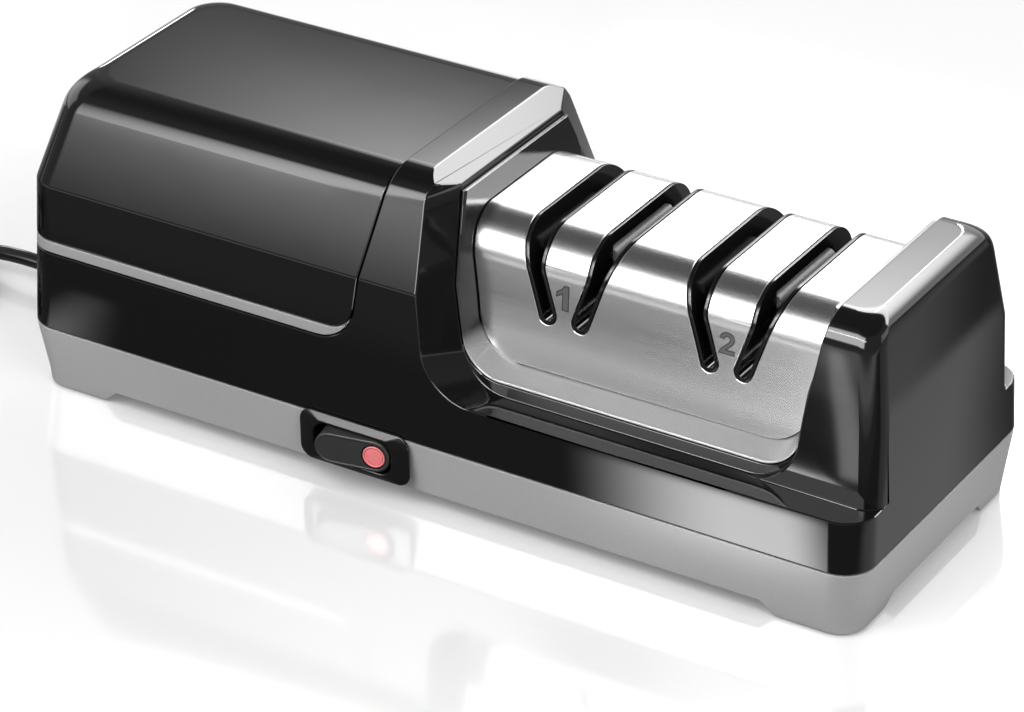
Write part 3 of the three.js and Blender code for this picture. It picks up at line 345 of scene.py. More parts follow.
def wound_copper():
    """Enamelled winding, its turns lying side by side."""
    made = Finish("rotor_copper", Metallic=0.8)
    turns = made.rings(420)
    cloud = made.noise(180, 3)
    share = (turns * 0.7 + cloud * 0.3).clamped()
    made.colour((0.20, 0.06, 0.025, 1), (0.56, 0.24, 0.11, 1), share)
    made.lay(Roughness=cloud * 0.2 + 0.35)
    made.relief(turns, 0.00008)
    return made


def circuit_green():
    """Lacquered board with faint tracks under the lacquer."""
    made = Finish("board_green")
    tracks = made.noise(1, 0, stretch=(300, 300, 60)).above(0.52)
    cloud = made.noise(90, 3)
    share = (tracks * 0.6 + cloud * 0.4).clamped()
    made.colour((0.012, 0.055, 0.025, 1), (0.03, 0.14, 0.06, 1), share)
    made.lay(Roughness=cloud * 0.15 + 0.28)
    made.relief(tracks, 0.00003)
    return made


def lamp_lens():
    """Coral lens of the pilot lamp: a cloudy colour and finely faceted glass."""
    made = Finish("lamp_red", Coat_Weight=0.3)
    cloud = made.noise(700, 2)
    made.colour((0.93, 0.2, 0.21, 1), (1.0, 0.3, 0.31, 1), cloud)
    made.lay(Roughness=cloud * 0.12 + 0.24)
    made.relief(made.cells(1100), 0.00003)
    return made


# Name, shade, roughness, grains for each metre, and their depth in metres
MOULDED = (
    ("guide_black", 0.005, 0.14, 2200, 0.000008),
    ("presser_grey", 0.24, 0.5, 1800, 0.00003),
    ("inner_plastic", 0.035, 0.55, 1500, 0.00004),
    ("magnet_dark", 0.03, 0.7, 900, 0.00006),
    ("switch_black", 0.006, 0.22, 2400, 0.000015),
    ("rocker_grey", 0.026, 0.42, 2600, 0.00002),
    ("pad_rubber", 0.03, 0.85, 1300, 0.00006),
    ("cord_black", 0.016, 0.1, 1900, 0.000004),
    ("plug_black", 0.012, 0.4, 2000, 0.00003),
    ("numeral_grey", 0.1, 0.4, 2400, 0.00001),
    ("numeral_edge", 0.02, 0.45, 2400, 0.00001),
)
# Name, tint, roughness, and tool marks
WORKED = (
    ("pin_steel", (0.56, 0.56, 0.57), 0.25, 2600),
    ("spring_steel", (0.50, 0.51, 0.54), 0.3, 500),
    ("shaft_steel", (0.58, 0.58, 0.59), 0.25, 1900),
    ("motor_steel", (0.50, 0.50, 0.49), 0.35, 260),
    ("bush_bronze", (0.58, 0.38, 0.18), 0.4, 1500),
    ("screw_steel", (0.42, 0.42, 0.43), 0.35, 1200),
    ("blade_brass", (0.72, 0.58, 0.34), 0.28, 900),
)
FINISHES = {made.name: made for made in (
    gloss_black(),
    surround_paint(),
    brushed_steel(),
    abrasive_grit(),
    wound_copper(),
    circuit_green(),
    lamp_lens(),
    satin_paint("base_grey", 0.45, 0.55, 0.42, 0.1),
    satin_paint("trim_silver", 0.38, 0.46, 0.32, 0.2),
    *[moulded(*row) for row in MOULDED],
    *[worked_metal(*row) for row in WORKED],
)}

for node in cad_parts.values():
    slots = [material.name.split(".")[0] for material in node.data.materials]
    made = FINISHES.get(slots[0] if slots else "", FINISHES["inner_plastic"])
    node.data.materials.clear()
    node.data.materials.append(made.material)

# Bench: drawing, cutting and landing of pieces

WELD = 0.0005
HAIRLINE = 0.06
LEVEL_ANGLE = math.radians(0.4)
SMOOTH_ANGLE = math.radians(28)
FACE_WEIGHT = 50


def clear_hands():
    """Nothing stays selected, in or out of edit mode."""
    if bpy.context.object and bpy.context.object.mode != "OBJECT":
        bpy.ops.object.mode_set(mode="OBJECT")
    bpy.ops.object.select_all(action="DESELECT")


def hold(piece):
    """Makes one piece the selected and active one."""
    clear_hands()
    piece.select_set(True)
    bpy.context.view_layer.objects.active = piece


def name_piece(name):
    """Names the primitive that has just been added."""
    piece = bpy.context.object
    piece.name = name
    piece.data.name = name
    return piece


def arc_corners(corners, steps):
    """An outline whose corners (x, y, radius) are rounded by arcs."""
    points = []
    for i, corner in enumerate(corners):
        here = Vector(corner[:2])
        radius = corner[2] if len(corner) > 2 else 0
        if not radius:
            points.append(tuple(here))
            continue
        back = (Vector(corners[i - 1][:2]) - here).normalized()
        ahead = (Vector(corners[(i + 1) % len(corners)][:2]) - here).normalized()
        half_angle = back.angle(ahead) / 2
        centre = here + (back + ahead).normalized() * (radius / math.sin(half_angle))
        start = here + back * (radius / math.tan(half_angle)) - centre
        end = here + ahead * (radius / math.tan(half_angle)) - centre
        sweep = math.atan2(start.x * end.y - start.y * end.x, start.dot(end))
        for step in range(steps + 1):
            spot = Matrix.Rotation(sweep * step / steps, 2) @ start
            points.append(tuple(centre + spot))
    return points


def plan(west, east, south, north, corner, steps=10):
    """A rectangle with rounded corners."""
    return arc_corners([
        (west, south, corner), (east, south, corner), (east, north, corner), (west, north, corner),
    ], steps)


def grow(name, rings, hollow=False):
    """A body grown by extruding one outline from ring to ring, each point at its own place.

    A hollow body ends where it began, as a sleeve does.
    """
    clear_hands()
    count = len(rings[0])
    fill = "NOTHING" if hollow else "NGON"
    bpy.ops.mesh.primitive_circle_add(vertices=count, radius=1, fill_type=fill)
    piece = name_piece(name)
    bpy.ops.object.mode_set(mode="EDIT")
    bpy.ops.mesh.select_all(action="SELECT")
    set_ring(piece, rings[0])
    followers = [*rings[1:], rings[0]] if hollow else rings[1:]
    for ring in followers:
        if hollow:
            bpy.ops.mesh.extrude_edges_move(TRANSFORM_OT_translate={"value": (0, 0, 0)})
        else:
            bpy.ops.mesh.extrude_region_move(TRANSFORM_OT_translate={"value": (0, 0, 0)})
        set_ring(piece, ring)
    bpy.ops.mesh.select_all(action="SELECT")
    bpy.ops.mesh.remove_doubles(threshold=WELD)
    bpy.ops.mesh.normals_make_consistent(inside=False)
    bpy.ops.object.mode_set(mode="OBJECT")
    return piece


def set_ring(piece, ring):
    """Moves the selected ring of points to its places, in their order."""
    mesh = bmesh.from_edit_mesh(piece.data)
    mesh.verts.index_update()
    chosen = [vertex for vertex in mesh.verts if vertex.select]
    for vertex, place in zip(chosen, ring):
        vertex.co = place
    bmesh.update_edit_mesh(piece.data)


def prism(name, outline, axis, start, stop):
    """A straight bar of an outline along X, Y or Z."""
    place = {
        "X": lambda u, v, w: (w, u, v),
        "Y": lambda u, v, w: (u, w, v),
        "Z": lambda u, v, w: (u, v, w),
    }[axis]
    return grow(name, [[place(u, v, w) for u, v in outline] for w in (start, stop)])


def box(name, west, east, south, north, low, high):
    return prism(name, [(west, south), (east, south), (east, north), (west, north)], "Z", low, high)


def circle(x, y, radius, sides=48):
    return [
        (x + radius * math.cos(math.tau * i / sides), y + radius * math.sin(math.tau * i / sides))
        for i in range(sides)
    ]


def combine(piece, *tools, how="DIFFERENCE"):
    """Cuts, joins or keeps the common part of pieces, and uses the tools up."""
    for tool in tools:
        hold(piece)
        modifier = piece.modifiers.new("shape", "BOOLEAN")
        modifier.operation = how
        modifier.solver = "EXACT"
        modifier.object = tool
        bpy.ops.object.modifier_apply(modifier=modifier.name)
        spent = tool.data
        bpy.data.objects.remove(tool)
        bpy.data.meshes.remove(spent)
    return piece


def copy_of(piece, name):
    """A copy with a mesh of its own."""
    twin = piece.copy()
    twin.data = piece.data.copy()
    twin.name = name
    bpy.context.scene.collection.objects.link(twin)
    return twin


def clean(piece, distance=HAIRLINE):
    """Closes hairline seams that cutting leaves, and joins what is level into one face."""
    hold(piece)
    bpy.ops.object.mode_set(mode="EDIT")
    bpy.ops.mesh.select_all(action="SELECT")
    bpy.ops.mesh.remove_doubles(threshold=distance)
    bpy.ops.mesh.dissolve_degenerate(threshold=distance)
    bpy.ops.mesh.dissolve_limited(angle_limit=LEVEL_ANGLE)
    bpy.ops.object.mode_set(mode="OBJECT")
    return piece


def ease(piece, width, segments=2, angle=15):
    """Rounds every edge sharper than an angle, and evens the shading."""
    hold(piece)
    bevel = piece.modifiers.new("eased", "BEVEL")
    bevel.width = width
    bevel.segments = segments
    bevel.limit_method = "ANGLE"
    bevel.angle_limit = math.radians(angle)
    bevel.miter_outer = "MITER_ARC"
    bevel.use_clamp_overlap = False
    bpy.ops.object.modifier_apply(modifier=bevel.name)
    return even(piece)


def even(piece):
    """Smooth shading in which the large faces keep their own direction."""
    hold(piece)
    bpy.ops.object.shade_smooth_by_angle(angle=SMOOTH_ANGLE)
    weigh = piece.modifiers.new("even", "WEIGHTED_NORMAL")
    weigh.weight = FACE_WEIGHT
    weigh.keep_sharp = True
    bpy.ops.object.modifier_apply(modifier=weigh.name)
    return piece


def land(piece, body, slot, *replaced, finish=None):
    """Brings a finished piece to metres, gives it its finish and sets it on its body."""
    hold(piece)
    piece.scale = (MM, MM, MM)
    piece.location = (0, CASE_Y, 0)
    bpy.ops.object.transform_apply(location=True, rotation=True, scale=True)
    piece.data.materials.clear()
    piece.data.materials.append(FINISHES[finish or slot].material)
    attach(piece, body)
    if replaced:
        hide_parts(*replaced)
    return piece


# Cords

RELIEF_TILT = math.radians(5)
RELIEF_HEIGHT = 9.1
RELIEF_END = 24.3
RELIEF_SIDES = 32
CORD = 2.0
DROP = ((-155, 6.6), (-163, 5.9), (-171, 3.6), (-176, 2.2))
COIL_X = -184
COIL_INNER = 15.8
COIL_PITCH = 4.5
COIL_TURNS = 7.25
COIL_RISE = 4.5
COIL_TAIL = 15
COIL_OUTER = COIL_INNER + COIL_PITCH * COIL_TURNS / 2
COIL_STEPS = 48

WALL_LEAN = END_SPREAD * (SEAM - RELIEF_HEIGHT) / (SEAM - ARCH_TOP)
RELIEF_ROOT = Vector((WALL_LEAN - CASE_HALF, 0, RELIEF_HEIGHT))
RELIEF_WAY = Vector((-math.cos(RELIEF_TILT), 0, -math.sin(RELIEF_TILT)))


def on_relief(distance):
    return RELIEF_ROOT + RELIEF_WAY * distance


def smooth_route(points, steps):
    """Points of a smooth curve through a few chosen ones."""
    route = []
    last = len(points) - 1
    for i in range(last):
        before, here = points[max(i - 1, 0)], points[i]
        there, after = points[i + 1], points[min(i + 2, last)]
        for step in range(steps):
            t = step / steps
            bend = (2 * before - 5 * here + 4 * there - after) * t * t
            twist = (3 * here - before - 3 * there + after) * t * t * t
            route.append((2 * here + (there - before) * t + bend + twist) / 2)
    route.append(points[last])
    return route


def lead_route():
    """From the strain relief down to the floor, where the coil starts."""
    return smooth_route([
        on_relief(RELIEF_END),
        on_relief(RELIEF_END + 4),
        *[Vector((x, 0, z)) for x, z in DROP],
        Vector((COIL_X + 2 * CORD, 0, CORD)),
    ], 6)


def coil_route():
    """In along the lower layer, up, and out again along the upper one to the plug."""
    points = []
    count = round(COIL_TURNS * COIL_STEPS)
    for i in range(count + 1):
        from_middle = math.tau * (i - count / 2) / COIL_STEPS
        radius = COIL_INNER + COIL_PITCH * abs(from_middle) / math.tau
        climb = min(max(from_middle / math.pi + 0.5, 0), 1)
        angle = math.pi / 2 + math.tau * i / COIL_STEPS
        points.append(Vector((
            COIL_X + radius * math.cos(angle),
            -COIL_OUTER + radius * math.sin(angle),
            CORD + COIL_RISE * climb,
        )))
    for tail in (COIL_TAIL / 2, COIL_TAIL):
        points.append(Vector((COIL_X - COIL_OUTER, -COIL_OUTER - tail, CORD + COIL_RISE)))
    return points


def lay_cord(name, route, radius):
    """A round black cord along a route, as a curve in metres, and its length."""
    data = bpy.data.curves.new(name, "CURVE")
    data.dimensions = "3D"
    spline = data.splines.new("POLY")
    spline.points.add(len(route) - 1)
    for point, place in zip(spline.points, route):
        point.co = (*in_metres(place), 1)
    spline.use_smooth = True
    data.bevel_depth = radius * MM
    data.bevel_resolution = 5
    data.use_fill_caps = True
    cord = bpy.data.objects.new(name, data)
    bpy.context.scene.collection.objects.link(cord)
    data.materials.append(FINISHES["cord_black"].material)
    length = sum((b - a).length for a, b in zip(route, route[1:])) * MM
    return cord, length


mains_cord, mains_length = lay_cord("mains_cord", lead_route() + coil_route(), CORD)
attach(mains_cord, "case")
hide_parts("power_cord", "cord_coil")

# Case surfaces, as half sizes from the middle of the case

WALL = 2.4
PLAN_CORNER = 8.5
CAP_CORNER = 5.2
COVER_TOP = 83.2
COLLAR_TOP = 84.3
CAP_TOP = 77.5
BAND_TOP = 32.5  # where the end cap's sides are measured from
LEDGE_TOP = 32  # level with the mouth's floor
LEDGE = 8
HOUSING_FOOT = SEAM + GAP
CAVITY_TOP = 29.6
ROUND_STEPS = 14
SIDE = {"foot_z": SEAM, "foot": 43.4, "crease_z": 58.2, "inset": 2, "lean": 0.398, "fillet": 10.25}
END = {
    "foot_z": SEAM, "foot": CASE_HALF, "crease_z": 58.2, "inset": 1.7, "lean": 0.228, "fillet": 8,
}
CAP_END = {
    "foot_z": SEAM, "foot": CASE_HALF, "crease_z": 53, "inset": 0.9, "lean": 0.137, "fillet": 5,
}


def half_at(face, top, height):
    """How far a leaning wall stands from the middle at a height, under its rounded edge."""
    crease = face["foot"] - face["inset"]
    if height <= face["crease_z"]:
        share = (height - face["foot_z"]) / (face["crease_z"] - face["foot_z"])
        return face["foot"] - face["inset"] * share
    lean = math.atan(face["lean"])
    if height <= top - face["fillet"] * (1 - math.sin(lean)):
        return crease - face["lean"] * (height - face["crease_z"])
    rim = crease - face["lean"] * (top - face["crease_z"])
    flat = rim - face["fillet"] * math.tan((math.pi / 2 - lean) / 2)
    rise = height - (top - face["fillet"])
    return flat + math.sqrt(max(face["fillet"] ** 2 - rise ** 2, 0))


def round_heights(face, top):
    """Heights of the rings that round a wall onto its flat top."""
    lean = math.atan(face["lean"])
    angles = [lean + (math.pi / 2 - lean) * step / ROUND_STEPS for step in range(ROUND_STEPS + 1)]
    return [top - face["fillet"] * (1 - math.sin(angle)) for angle in angles]


def inward(face, depth):
    return {**face, "foot": face["foot"] - depth, "fillet": face["fillet"] - depth}


CAP_SIDE = {
    "foot_z": BAND_TOP, "foot": half_at(SIDE, COVER_TOP, BAND_TOP) - LEDGE,
    "crease_z": 53, "inset": 0.7, "lean": 0.146, "fillet": 8.35,
}
BAY_MIDDLE = 52.2


def leaning_body(name, side, end, top, foot, direction, corner):
    """Half of the case, from just past the bay's middle out to its leaning end."""
    heights = [foot, side["crease_z"], *round_heights(side, top)]
    inner = BAY_MIDDLE - direction * PLAN_CORNER
    rings = []
    for height in heights:
        tip = direction * half_at(end, top, height)
        half = half_at(side, top, height)
        outline = plan(min(tip, inner), max(tip, inner), -half, half, corner)
        rings.append([(x, y, height) for x, y in outline])
    return grow(name, rings)


def tall_body(name, depth, top, foot):
    """The high part on the left, a given depth inside its outer face."""
    side, end = inward(SIDE, depth), inward(END, depth)
    return leaning_body(name, side, end, top - depth, foot, -1, PLAN_CORNER - depth)


def cap_body(name, depth, foot):
    """The cap at the right end, a given depth inside its outer face."""
    side, end = inward(CAP_SIDE, depth), inward(CAP_END, depth)
    return leaning_body(name, side, end, CAP_TOP - depth, foot, 1, CAP_CORNER - depth)


def band_body(name, depth, foot, top):
    """The lower band all round, from the seam to a height."""
    rings = []
    for height in (foot, top):
        half = half_at(SIDE, COVER_TOP, height) - depth
        west = half_at(END, COVER_TOP, height) - depth
        east = half_at(CAP_END, CAP_TOP, height) - depth
        outline = plan(-west, east, -half, half, PLAN_CORNER - depth)
        rings.append([(x, y, height) for x, y in outline])
    return grow(name, rings)


# The parting line between motor cover and collar, which the silver trim follows

PARTING_X = -14.1
PARTING_LEAN = 0.1527
TRIM_SHIFT = 0.35  # from the cover's edge to the collar's
TRIM_LOW, TRIM_LOW_ROUND = 40.1, 10.7
TRIM_HIGH, TRIM_HIGH_ROUND = 43, 7.8


def parting_x(height, shift):
    return PARTING_X - PARTING_LEAN * (COVER_TOP - height) + shift


def motor_region(name, shift, bottom, radius):
    """All that lies left of the parting line and above a height."""
    return prism(name, arc_corners([
        (-REACH, bottom),
        (parting_x(bottom, shift), bottom, radius),
        (parting_x(REACH, shift), REACH),
        (-REACH, REACH),
    ], 12), "Y", -REACH, REACH)


# Bay

MOUTH = {"half": 52.3, "height": 47, "lean": 0.097, "floor": LEDGE_TOP, "radius": 14}
THROAT = {"half": 46.4, "height": 45.5, "lean": 0.15, "floor": LEDGE_TOP, "radius": 13}
STEEL = {"half": 45.5, "height": 50, "lean": 0.146, "floor": 38.6, "radius": 11.5}
SEAT_FLOOR = 35.2
SEAT_RADIUS = 11
SEAT_INSET = 9.5  # the surround's front edge, behind the case's face
THROAT_INSET = 9.4
PROUD = 0.8  # the bay's cutter starts to narrow this far in front of the face
IN_FRONT = 12
CLIP_HEIGHT = 80.5  # above it the bay's edges keep one depth
SHEET = 0.9
BAY_WALL = 2.6
SIDE_HEIGHTS = (58.2, 65.0, 69.5, 72.95, 76.0, 79.6, 80.5)
AXIS = 36  # the shaft's height
SHAFT_ROOM = 5
WINDOW_MARGIN = 2.5
WINDOW_HALF = 20
DRIVE_WINDOW = (
    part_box("bearing_bracket_1")[0].x / MM - WINDOW_MARGIN,
    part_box("bearing_bracket_3")[1].x / MM + WINDOW_MARGIN,
)


def line_x(line, height, direction):
    return BAY_MIDDLE + direction * (line["half"] + line["lean"] * (height - line["height"]))


def bay_outline(left, right, floor, radius, inset=0.0, left_top=REACH, right_top=REACH):
    """Two leaning sides on a rounded floor."""
    level = floor + inset
    rise = [height for height in SIDE_HEIGHTS if height < right_top]
    fall = [height for height in SIDE_HEIGHTS if height < left_top][::-1]
    return arc_corners([
        (line_x(left, level, -1) + inset, level, radius - inset),
        (line_x(right, level, 1) - inset, level, radius - inset),
        *[(line_x(right, height, 1) - inset, height) for height in rise],
        (line_x(right, right_top, 1) - inset, right_top),
        (line_x(left, left_top, -1) + inset, left_top),
        *[(line_x(left, height, -1) + inset, height) for height in fall],
    ], 14)


def face_depth(height, inset):
    """Depth of a point a given way behind the leaning front face."""
    return half_at(SIDE, COLLAR_TOP, min(height, CLIP_HEIGHT)) - inset


def on_face(outline, side, inset):
    """An outline laid on the front face (side -1) or the back face (side 1)."""
    return [(x, side * face_depth(z, inset), z) for x, z in outline]


def bay_cutter():
    """The bay's room, wide at the mouth and narrow at the throat, front and back."""
    mouth = bay_outline(MOUTH, THROAT, MOUTH["floor"], MOUTH["radius"])
    throat = bay_outline(THROAT, THROAT, THROAT["floor"], THROAT["radius"])
    seat = bay_outline(THROAT, THROAT, SEAT_FLOOR, SEAT_RADIUS)
    spread = PROUD / THROAT_INSET
    proud = [
        (x + (x - inner_x) * spread, z + (z - inner_z) * spread)
        for (x, z), (inner_x, inner_z) in zip(mouth, throat)
    ]
    half = [(proud, -IN_FRONT), (proud, -PROUD), (throat, THROAT_INSET), (seat, SEAT_INSET)]
    return grow("bay", [
        *[on_face(outline, -1, inset) for outline, inset in half],
        *[on_face(outline, 1, inset) for outline, inset in half[::-1]],
    ])


def drive_window():
    """Room for the discs and their brackets."""
    low, high = HOUSING_FOOT - OVERRUN, AXIS + SHAFT_ROOM
    return box("window", *DRIVE_WINDOW, -WINDOW_HALF, WINDOW_HALF, low, high)


def shaft_way():
    """Room for the shaft, from the motor to the bay."""
    start = line_x(MOUTH, AXIS, -1) - BAY_WALL - OVERRUN
    return prism("way", circle(0, AXIS, SHAFT_ROOM, 24), "X", start, DRIVE_WINDOW[0] + GAP)


# Housing, motor cover and trim

SCREWS = [(x * 88, y * 36.6) for x in (-1, 1) for y in (-1, 1)]
SCREW_HOLE = 1.6
HOUSING_POST = 3.6
SCREW_TIP = 26.3
COLLAR_BEVEL = ((-5.5, 0), (7.5, -8.6), (7.5, 3), (-5.5, 3))


def beside_bay(name, line, direction):
    """All that lies beyond the bay's wall on one side."""
    shift = direction * BAY_WALL
    low_x = line_x(line, 0, direction) + shift
    high_x = line_x(line, REACH, direction) + shift
    far = direction * REACH
    outline = [(far, 0), (low_x, 0), (high_x, REACH), (far, REACH)]
    return prism(name, outline, "Y", -REACH, REACH)


def housing_moulding():
    """The black housing: lower band, collar beside the bay and end cap, with a hollow inside."""
    body = tall_body("housing_moulding", 0, COLLAR_TOP, HOUSING_FOOT)
    band = band_body("band", 0, HOUSING_FOOT, LEDGE_TOP)
    combine(body, band, cap_body("cap", 0, HOUSING_FOOT), how="UNION")
    slope = [(x, COLLAR_TOP + rise) for x, rise in COLLAR_BEVEL]
    bevel = prism("bevel", slope, "Y", -REACH, REACH)
    region = motor_region("region", TRIM_SHIFT, TRIM_LOW - GAP, TRIM_LOW_ROUND + GAP)
    combine(body, bay_cutter(), bevel, region)
    foot = HOUSING_FOOT - OVERRUN
    tall = tall_body("tall", WALL, COLLAR_TOP, foot)
    combine(tall, beside_bay("half", MOUTH, -1), how="INTERSECT")
    cap = cap_body("cap", WALL, foot)
    combine(cap, beside_bay("half", THROAT, 1), how="INTERSECT")
    combine(body, band_body("band", WALL, foot, CAVITY_TOP), tall, cap)
    for x, y in SCREWS:
        post = prism("post", circle(x, y, HOUSING_POST, 24), "Z", HOUSING_FOOT, CAVITY_TOP + 1)
        combine(body, post, how="UNION")
        combine(body, prism("hole", circle(x, y, SCREW_HOLE, 16), "Z", foot, SCREW_TIP))
    combine(body, shaft_way(), drive_window())
    clean(body, 0.12)
    ease(body, 0.4, 3)
    return land(body, "case", "gloss_black", "upper_housing")


def motor_shell():
    """The cover over the motor, its free edge eased."""
    shell = tall_body("motor_shell", 0, COVER_TOP, HOUSING_FOOT)
    region = motor_region("region", 0, TRIM_HIGH + GAP, TRIM_HIGH_ROUND - GAP)
    combine(shell, region, how="INTERSECT")
    combine(shell, tall_body("hollow", WALL, COVER_TOP, HOUSING_FOOT - OVERRUN))
    clean(shell)
    ease(shell, 0.4, 3)
    return land(shell, "case", "gloss_black", "motor_cover")


def seam_trim():
    """The silver line between cover and housing, which turns up at its tip."""
    band = tall_body("seam_trim", 0, COVER_TOP, HOUSING_FOOT)
    low = motor_region("low", TRIM_SHIFT - GAP, TRIM_LOW, TRIM_LOW_ROUND)
    combine(band, low, how="INTERSECT")
    combine(band, motor_region("high", GAP, TRIM_HIGH, TRIM_HIGH_ROUND))
    combine(band, tall_body("hollow", WALL, COVER_TOP, HOUSING_FOOT - OVERRUN))
    clean(band)
    ease(band, 0.25)
    return land(band, "case", "trim_silver", "trim_band")


housing_moulding()
motor_shell()
seam_trim()

# Base

BASE_FOOT = 0.6
BASE_FLOOR = ARCH_TOP + 2.34
BASE_WALL = 2.5
FOOT_HALVES, FOOT_CORNER = (117.6, 41.1), 7
ARCHES = ((93, 1.19, "Y"), (21.5, 0.98, "X"))
PADS = [(x * 107, y * 33) for x, y in ((-1, -1), (1, -1), (1, 1), (-1, 1))]
PAD_SEAT, SEAT_TOP = 5.8, 2.3
BASE_POST, POST_FOOT = 4.2, 5.2
SCREW_WELL, WELL_TOP = 3.1, 8
VENTS, VENT_START, VENT_STEP = 6, -42, 5
VENT_WIDTH, VENT_HALF = 2.4, 16
NOTCH = (-31.05, -5.95, -REACH, -36, 6.55, SEAM + OVERRUN)
NECK_HOLE = 3.0


def base_half(face, spread, height):
    """How far the base's side stands out at a height."""
    return face["foot"] - spread * (SEAM - height) / (SEAM - ARCH_TOP)


def base_ring(height, depth):
    """The base's outline at a height, a given depth inside its outer face."""
    long = base_half(END, END_SPREAD, height) - depth
    half = base_half(SIDE, SIDE_SPREAD, height) - depth
    return [(x, y, height) for x, y in plan(-long, long, -half, half, PLAN_CORNER - depth)]


def arch(half, share, axis):
    """The space under the base between two feet."""
    far = half + share * (ARCH_TOP + OVERRUN)
    outline = [(-half, ARCH_TOP), (-far, -OVERRUN), (far, -OVERRUN), (half, ARCH_TOP)]
    return prism("arch", outline, axis, -REACH, REACH)


def base_moulding():
    """The silver-grey base: four feet, screw wells, vents under the motor and the switch notch."""
    long, half = FOOT_HALVES
    foot = [(x, y, BASE_FOOT) for x, y in plan(-long, long, -half, half, FOOT_CORNER)]
    body = grow("base_moulding", [foot, base_ring(ARCH_TOP, 0), base_ring(SEAM, 0)])
    hollow = grow("hollow", [
        base_ring(BASE_FLOOR, BASE_WALL), base_ring(SEAM + OVERRUN, BASE_WALL),
    ])
    combine(body, *[arch(*row) for row in ARCHES], hollow)
    for x, y in SCREWS:
        post = prism("post", circle(x, y, BASE_POST, 24), "Z", POST_FOOT, SEAM - GAP)
        combine(body, post, how="UNION")
        hole = prism("hole", circle(x, y, SCREW_HOLE, 16), "Z", -OVERRUN, SEAM + OVERRUN)
        combine(body, hole, prism("well", circle(x, y, SCREW_WELL, 28), "Z", -OVERRUN, WELL_TOP))
    for x, y in PADS:
        combine(body, prism("seat", circle(x, y, PAD_SEAT, 40), "Z", -OVERRUN, SEAT_TOP))
    for i in range(VENTS):
        x = VENT_START + i * VENT_STEP
        slit = plan(x, x + VENT_WIDTH, -VENT_HALF, VENT_HALF, VENT_WIDTH / 2 - 0.01, 6)
        combine(body, prism("vent", slit, "Z", -1, BASE_FLOOR + 1))
    combine(body, box("notch", *NOTCH))
    combine(body, cone_on_relief("neck", [(-9, NECK_HOLE), (6, NECK_HOLE)]))
    clean(body)
    ease(body, 0.15, angle=20)
    return land(body, "case", "base_grey", "base_shell")


def cone_on_relief(name, profile):
    """A round piece on the strain relief's axis, from (distance, radius) pairs."""
    across = Vector((0, 1, 0))
    high = RELIEF_WAY.cross(across)
    turn = [math.tau * i / RELIEF_SIDES for i in range(RELIEF_SIDES)]
    return grow(name, [
        [
            tuple(on_relief(distance) + across * radius * math.cos(a) + high * radius * math.sin(a))
            for a in turn
        ]
        for distance, radius in profile
    ])


base_moulding()

# Sharpening module

FRAME_TOPS = {"left_top": 79, "right_top": 76.5}
LIP = 0.5
LIP_REACH = 26.5


def bay_frame():
    """The frame round the stainless cover: a silver lip that slopes down to it, front and back."""
    outline = bay_outline(THROAT, THROAT, SEAT_FLOOR, SEAT_RADIUS, inset=GAP, **FRAME_TOPS)
    body = grow("bay_frame", [on_face(outline, side, SEAT_INSET) for side in (-1, 1)])
    opening = bay_outline(STEEL, STEEL, STEEL["floor"], STEEL["radius"], inset=-GAP)
    rim = bay_outline(THROAT, THROAT, SEAT_FLOOR, SEAT_RADIUS, inset=GAP + LIP)
    funnels = []
    for side in (-1, 1):
        outer = on_face(rim, side, SEAT_INSET - OVERRUN)
        inner = [
            (x, side * min(LIP_REACH, face_depth(z, SEAT_INSET) - LIP), z) for x, z in opening
        ]
        funnels.append(grow("funnel", [outer, on_face(rim, side, SEAT_INSET), inner]))
    combine(body, prism("opening", opening, "Y", -REACH, REACH), *funnels)
    combine(body, drive_window(), shaft_way())
    clean(body)
    ease(body, 0.1, angle=20)
    return land(body, "case", "surround_silver", "module_surround")


STEEL_FOOT, STEEL_BREAK, STEEL_HEAD = 27.2, 25.3, 23.6
BREAK_HEIGHT, STEEL_TOP = 50, 73
BREAK_ROUND, HEAD_ROUND = 120, 11.3


def steel_section(depth, drop):
    """Cross-section of the bent sheet, a given way inside its outer face."""
    half = [
        (STEEL_FOOT - depth, STEEL["floor"] - drop),
        (STEEL_BREAK - depth, BREAK_HEIGHT, BREAK_ROUND),
        (STEEL_HEAD - depth, STEEL_TOP - depth, HEAD_ROUND - depth),
    ]
    return arc_corners([*[(-y, *rest) for y, *rest in half], *half[::-1]], 16)


def steel_body(name, depth, drop):
    """A long bar of the bent sheet's cross-section."""
    return prism(name, steel_section(depth, drop), "X", -REACH, REACH)


STAGES = (30.1, 74.3)
SLOTS = [(stage, way) for stage in STAGES for way in (-1, 1)]
SLOT_HALF = 2.53
SLOT_LEAN = 0.327
SLOT_FOOT = (4.55, 52.8)
SLOT_KNEE, KNEE_ROUND = 5.8, 6
SLOT_TOP = 76
ALMOST = 0.97  # a corner's share of half a width, just short of a half circle


def slot_outline(stage, way, inset):
    """A leaning finger that widens upwards, a given way inside the slot's edge."""
    half = SLOT_HALF - inset
    lean = math.atan(SLOT_LEAN)
    end_z = SLOT_FOOT[1] - half * math.cos(lean)
    end_x = SLOT_FOOT[0] - half * math.sin(lean)
    outer = (end_x + half * math.cos(lean), end_z - half * math.sin(lean))
    inner = (end_x - half * math.cos(lean), end_z + half * math.sin(lean))
    knee = SLOT_KNEE + inset
    knee_z = inner[1] + (knee - inner[0]) / SLOT_LEAN
    return [(stage + way * x, z) for x, z in arc_corners([
        (*outer, half * ALMOST),
        (*inner, half * ALMOST),
        (knee, knee_z, KNEE_ROUND),
        (knee, SLOT_TOP),
        (outer[0] + SLOT_LEAN * (SLOT_TOP - outer[1]), SLOT_TOP),
    ], 10)]


def slot_bar(name, stage, way, inset):
    """A slot's outline drawn right through the machine."""
    return prism(name, slot_outline(stage, way, inset), "Y", -REACH, REACH)


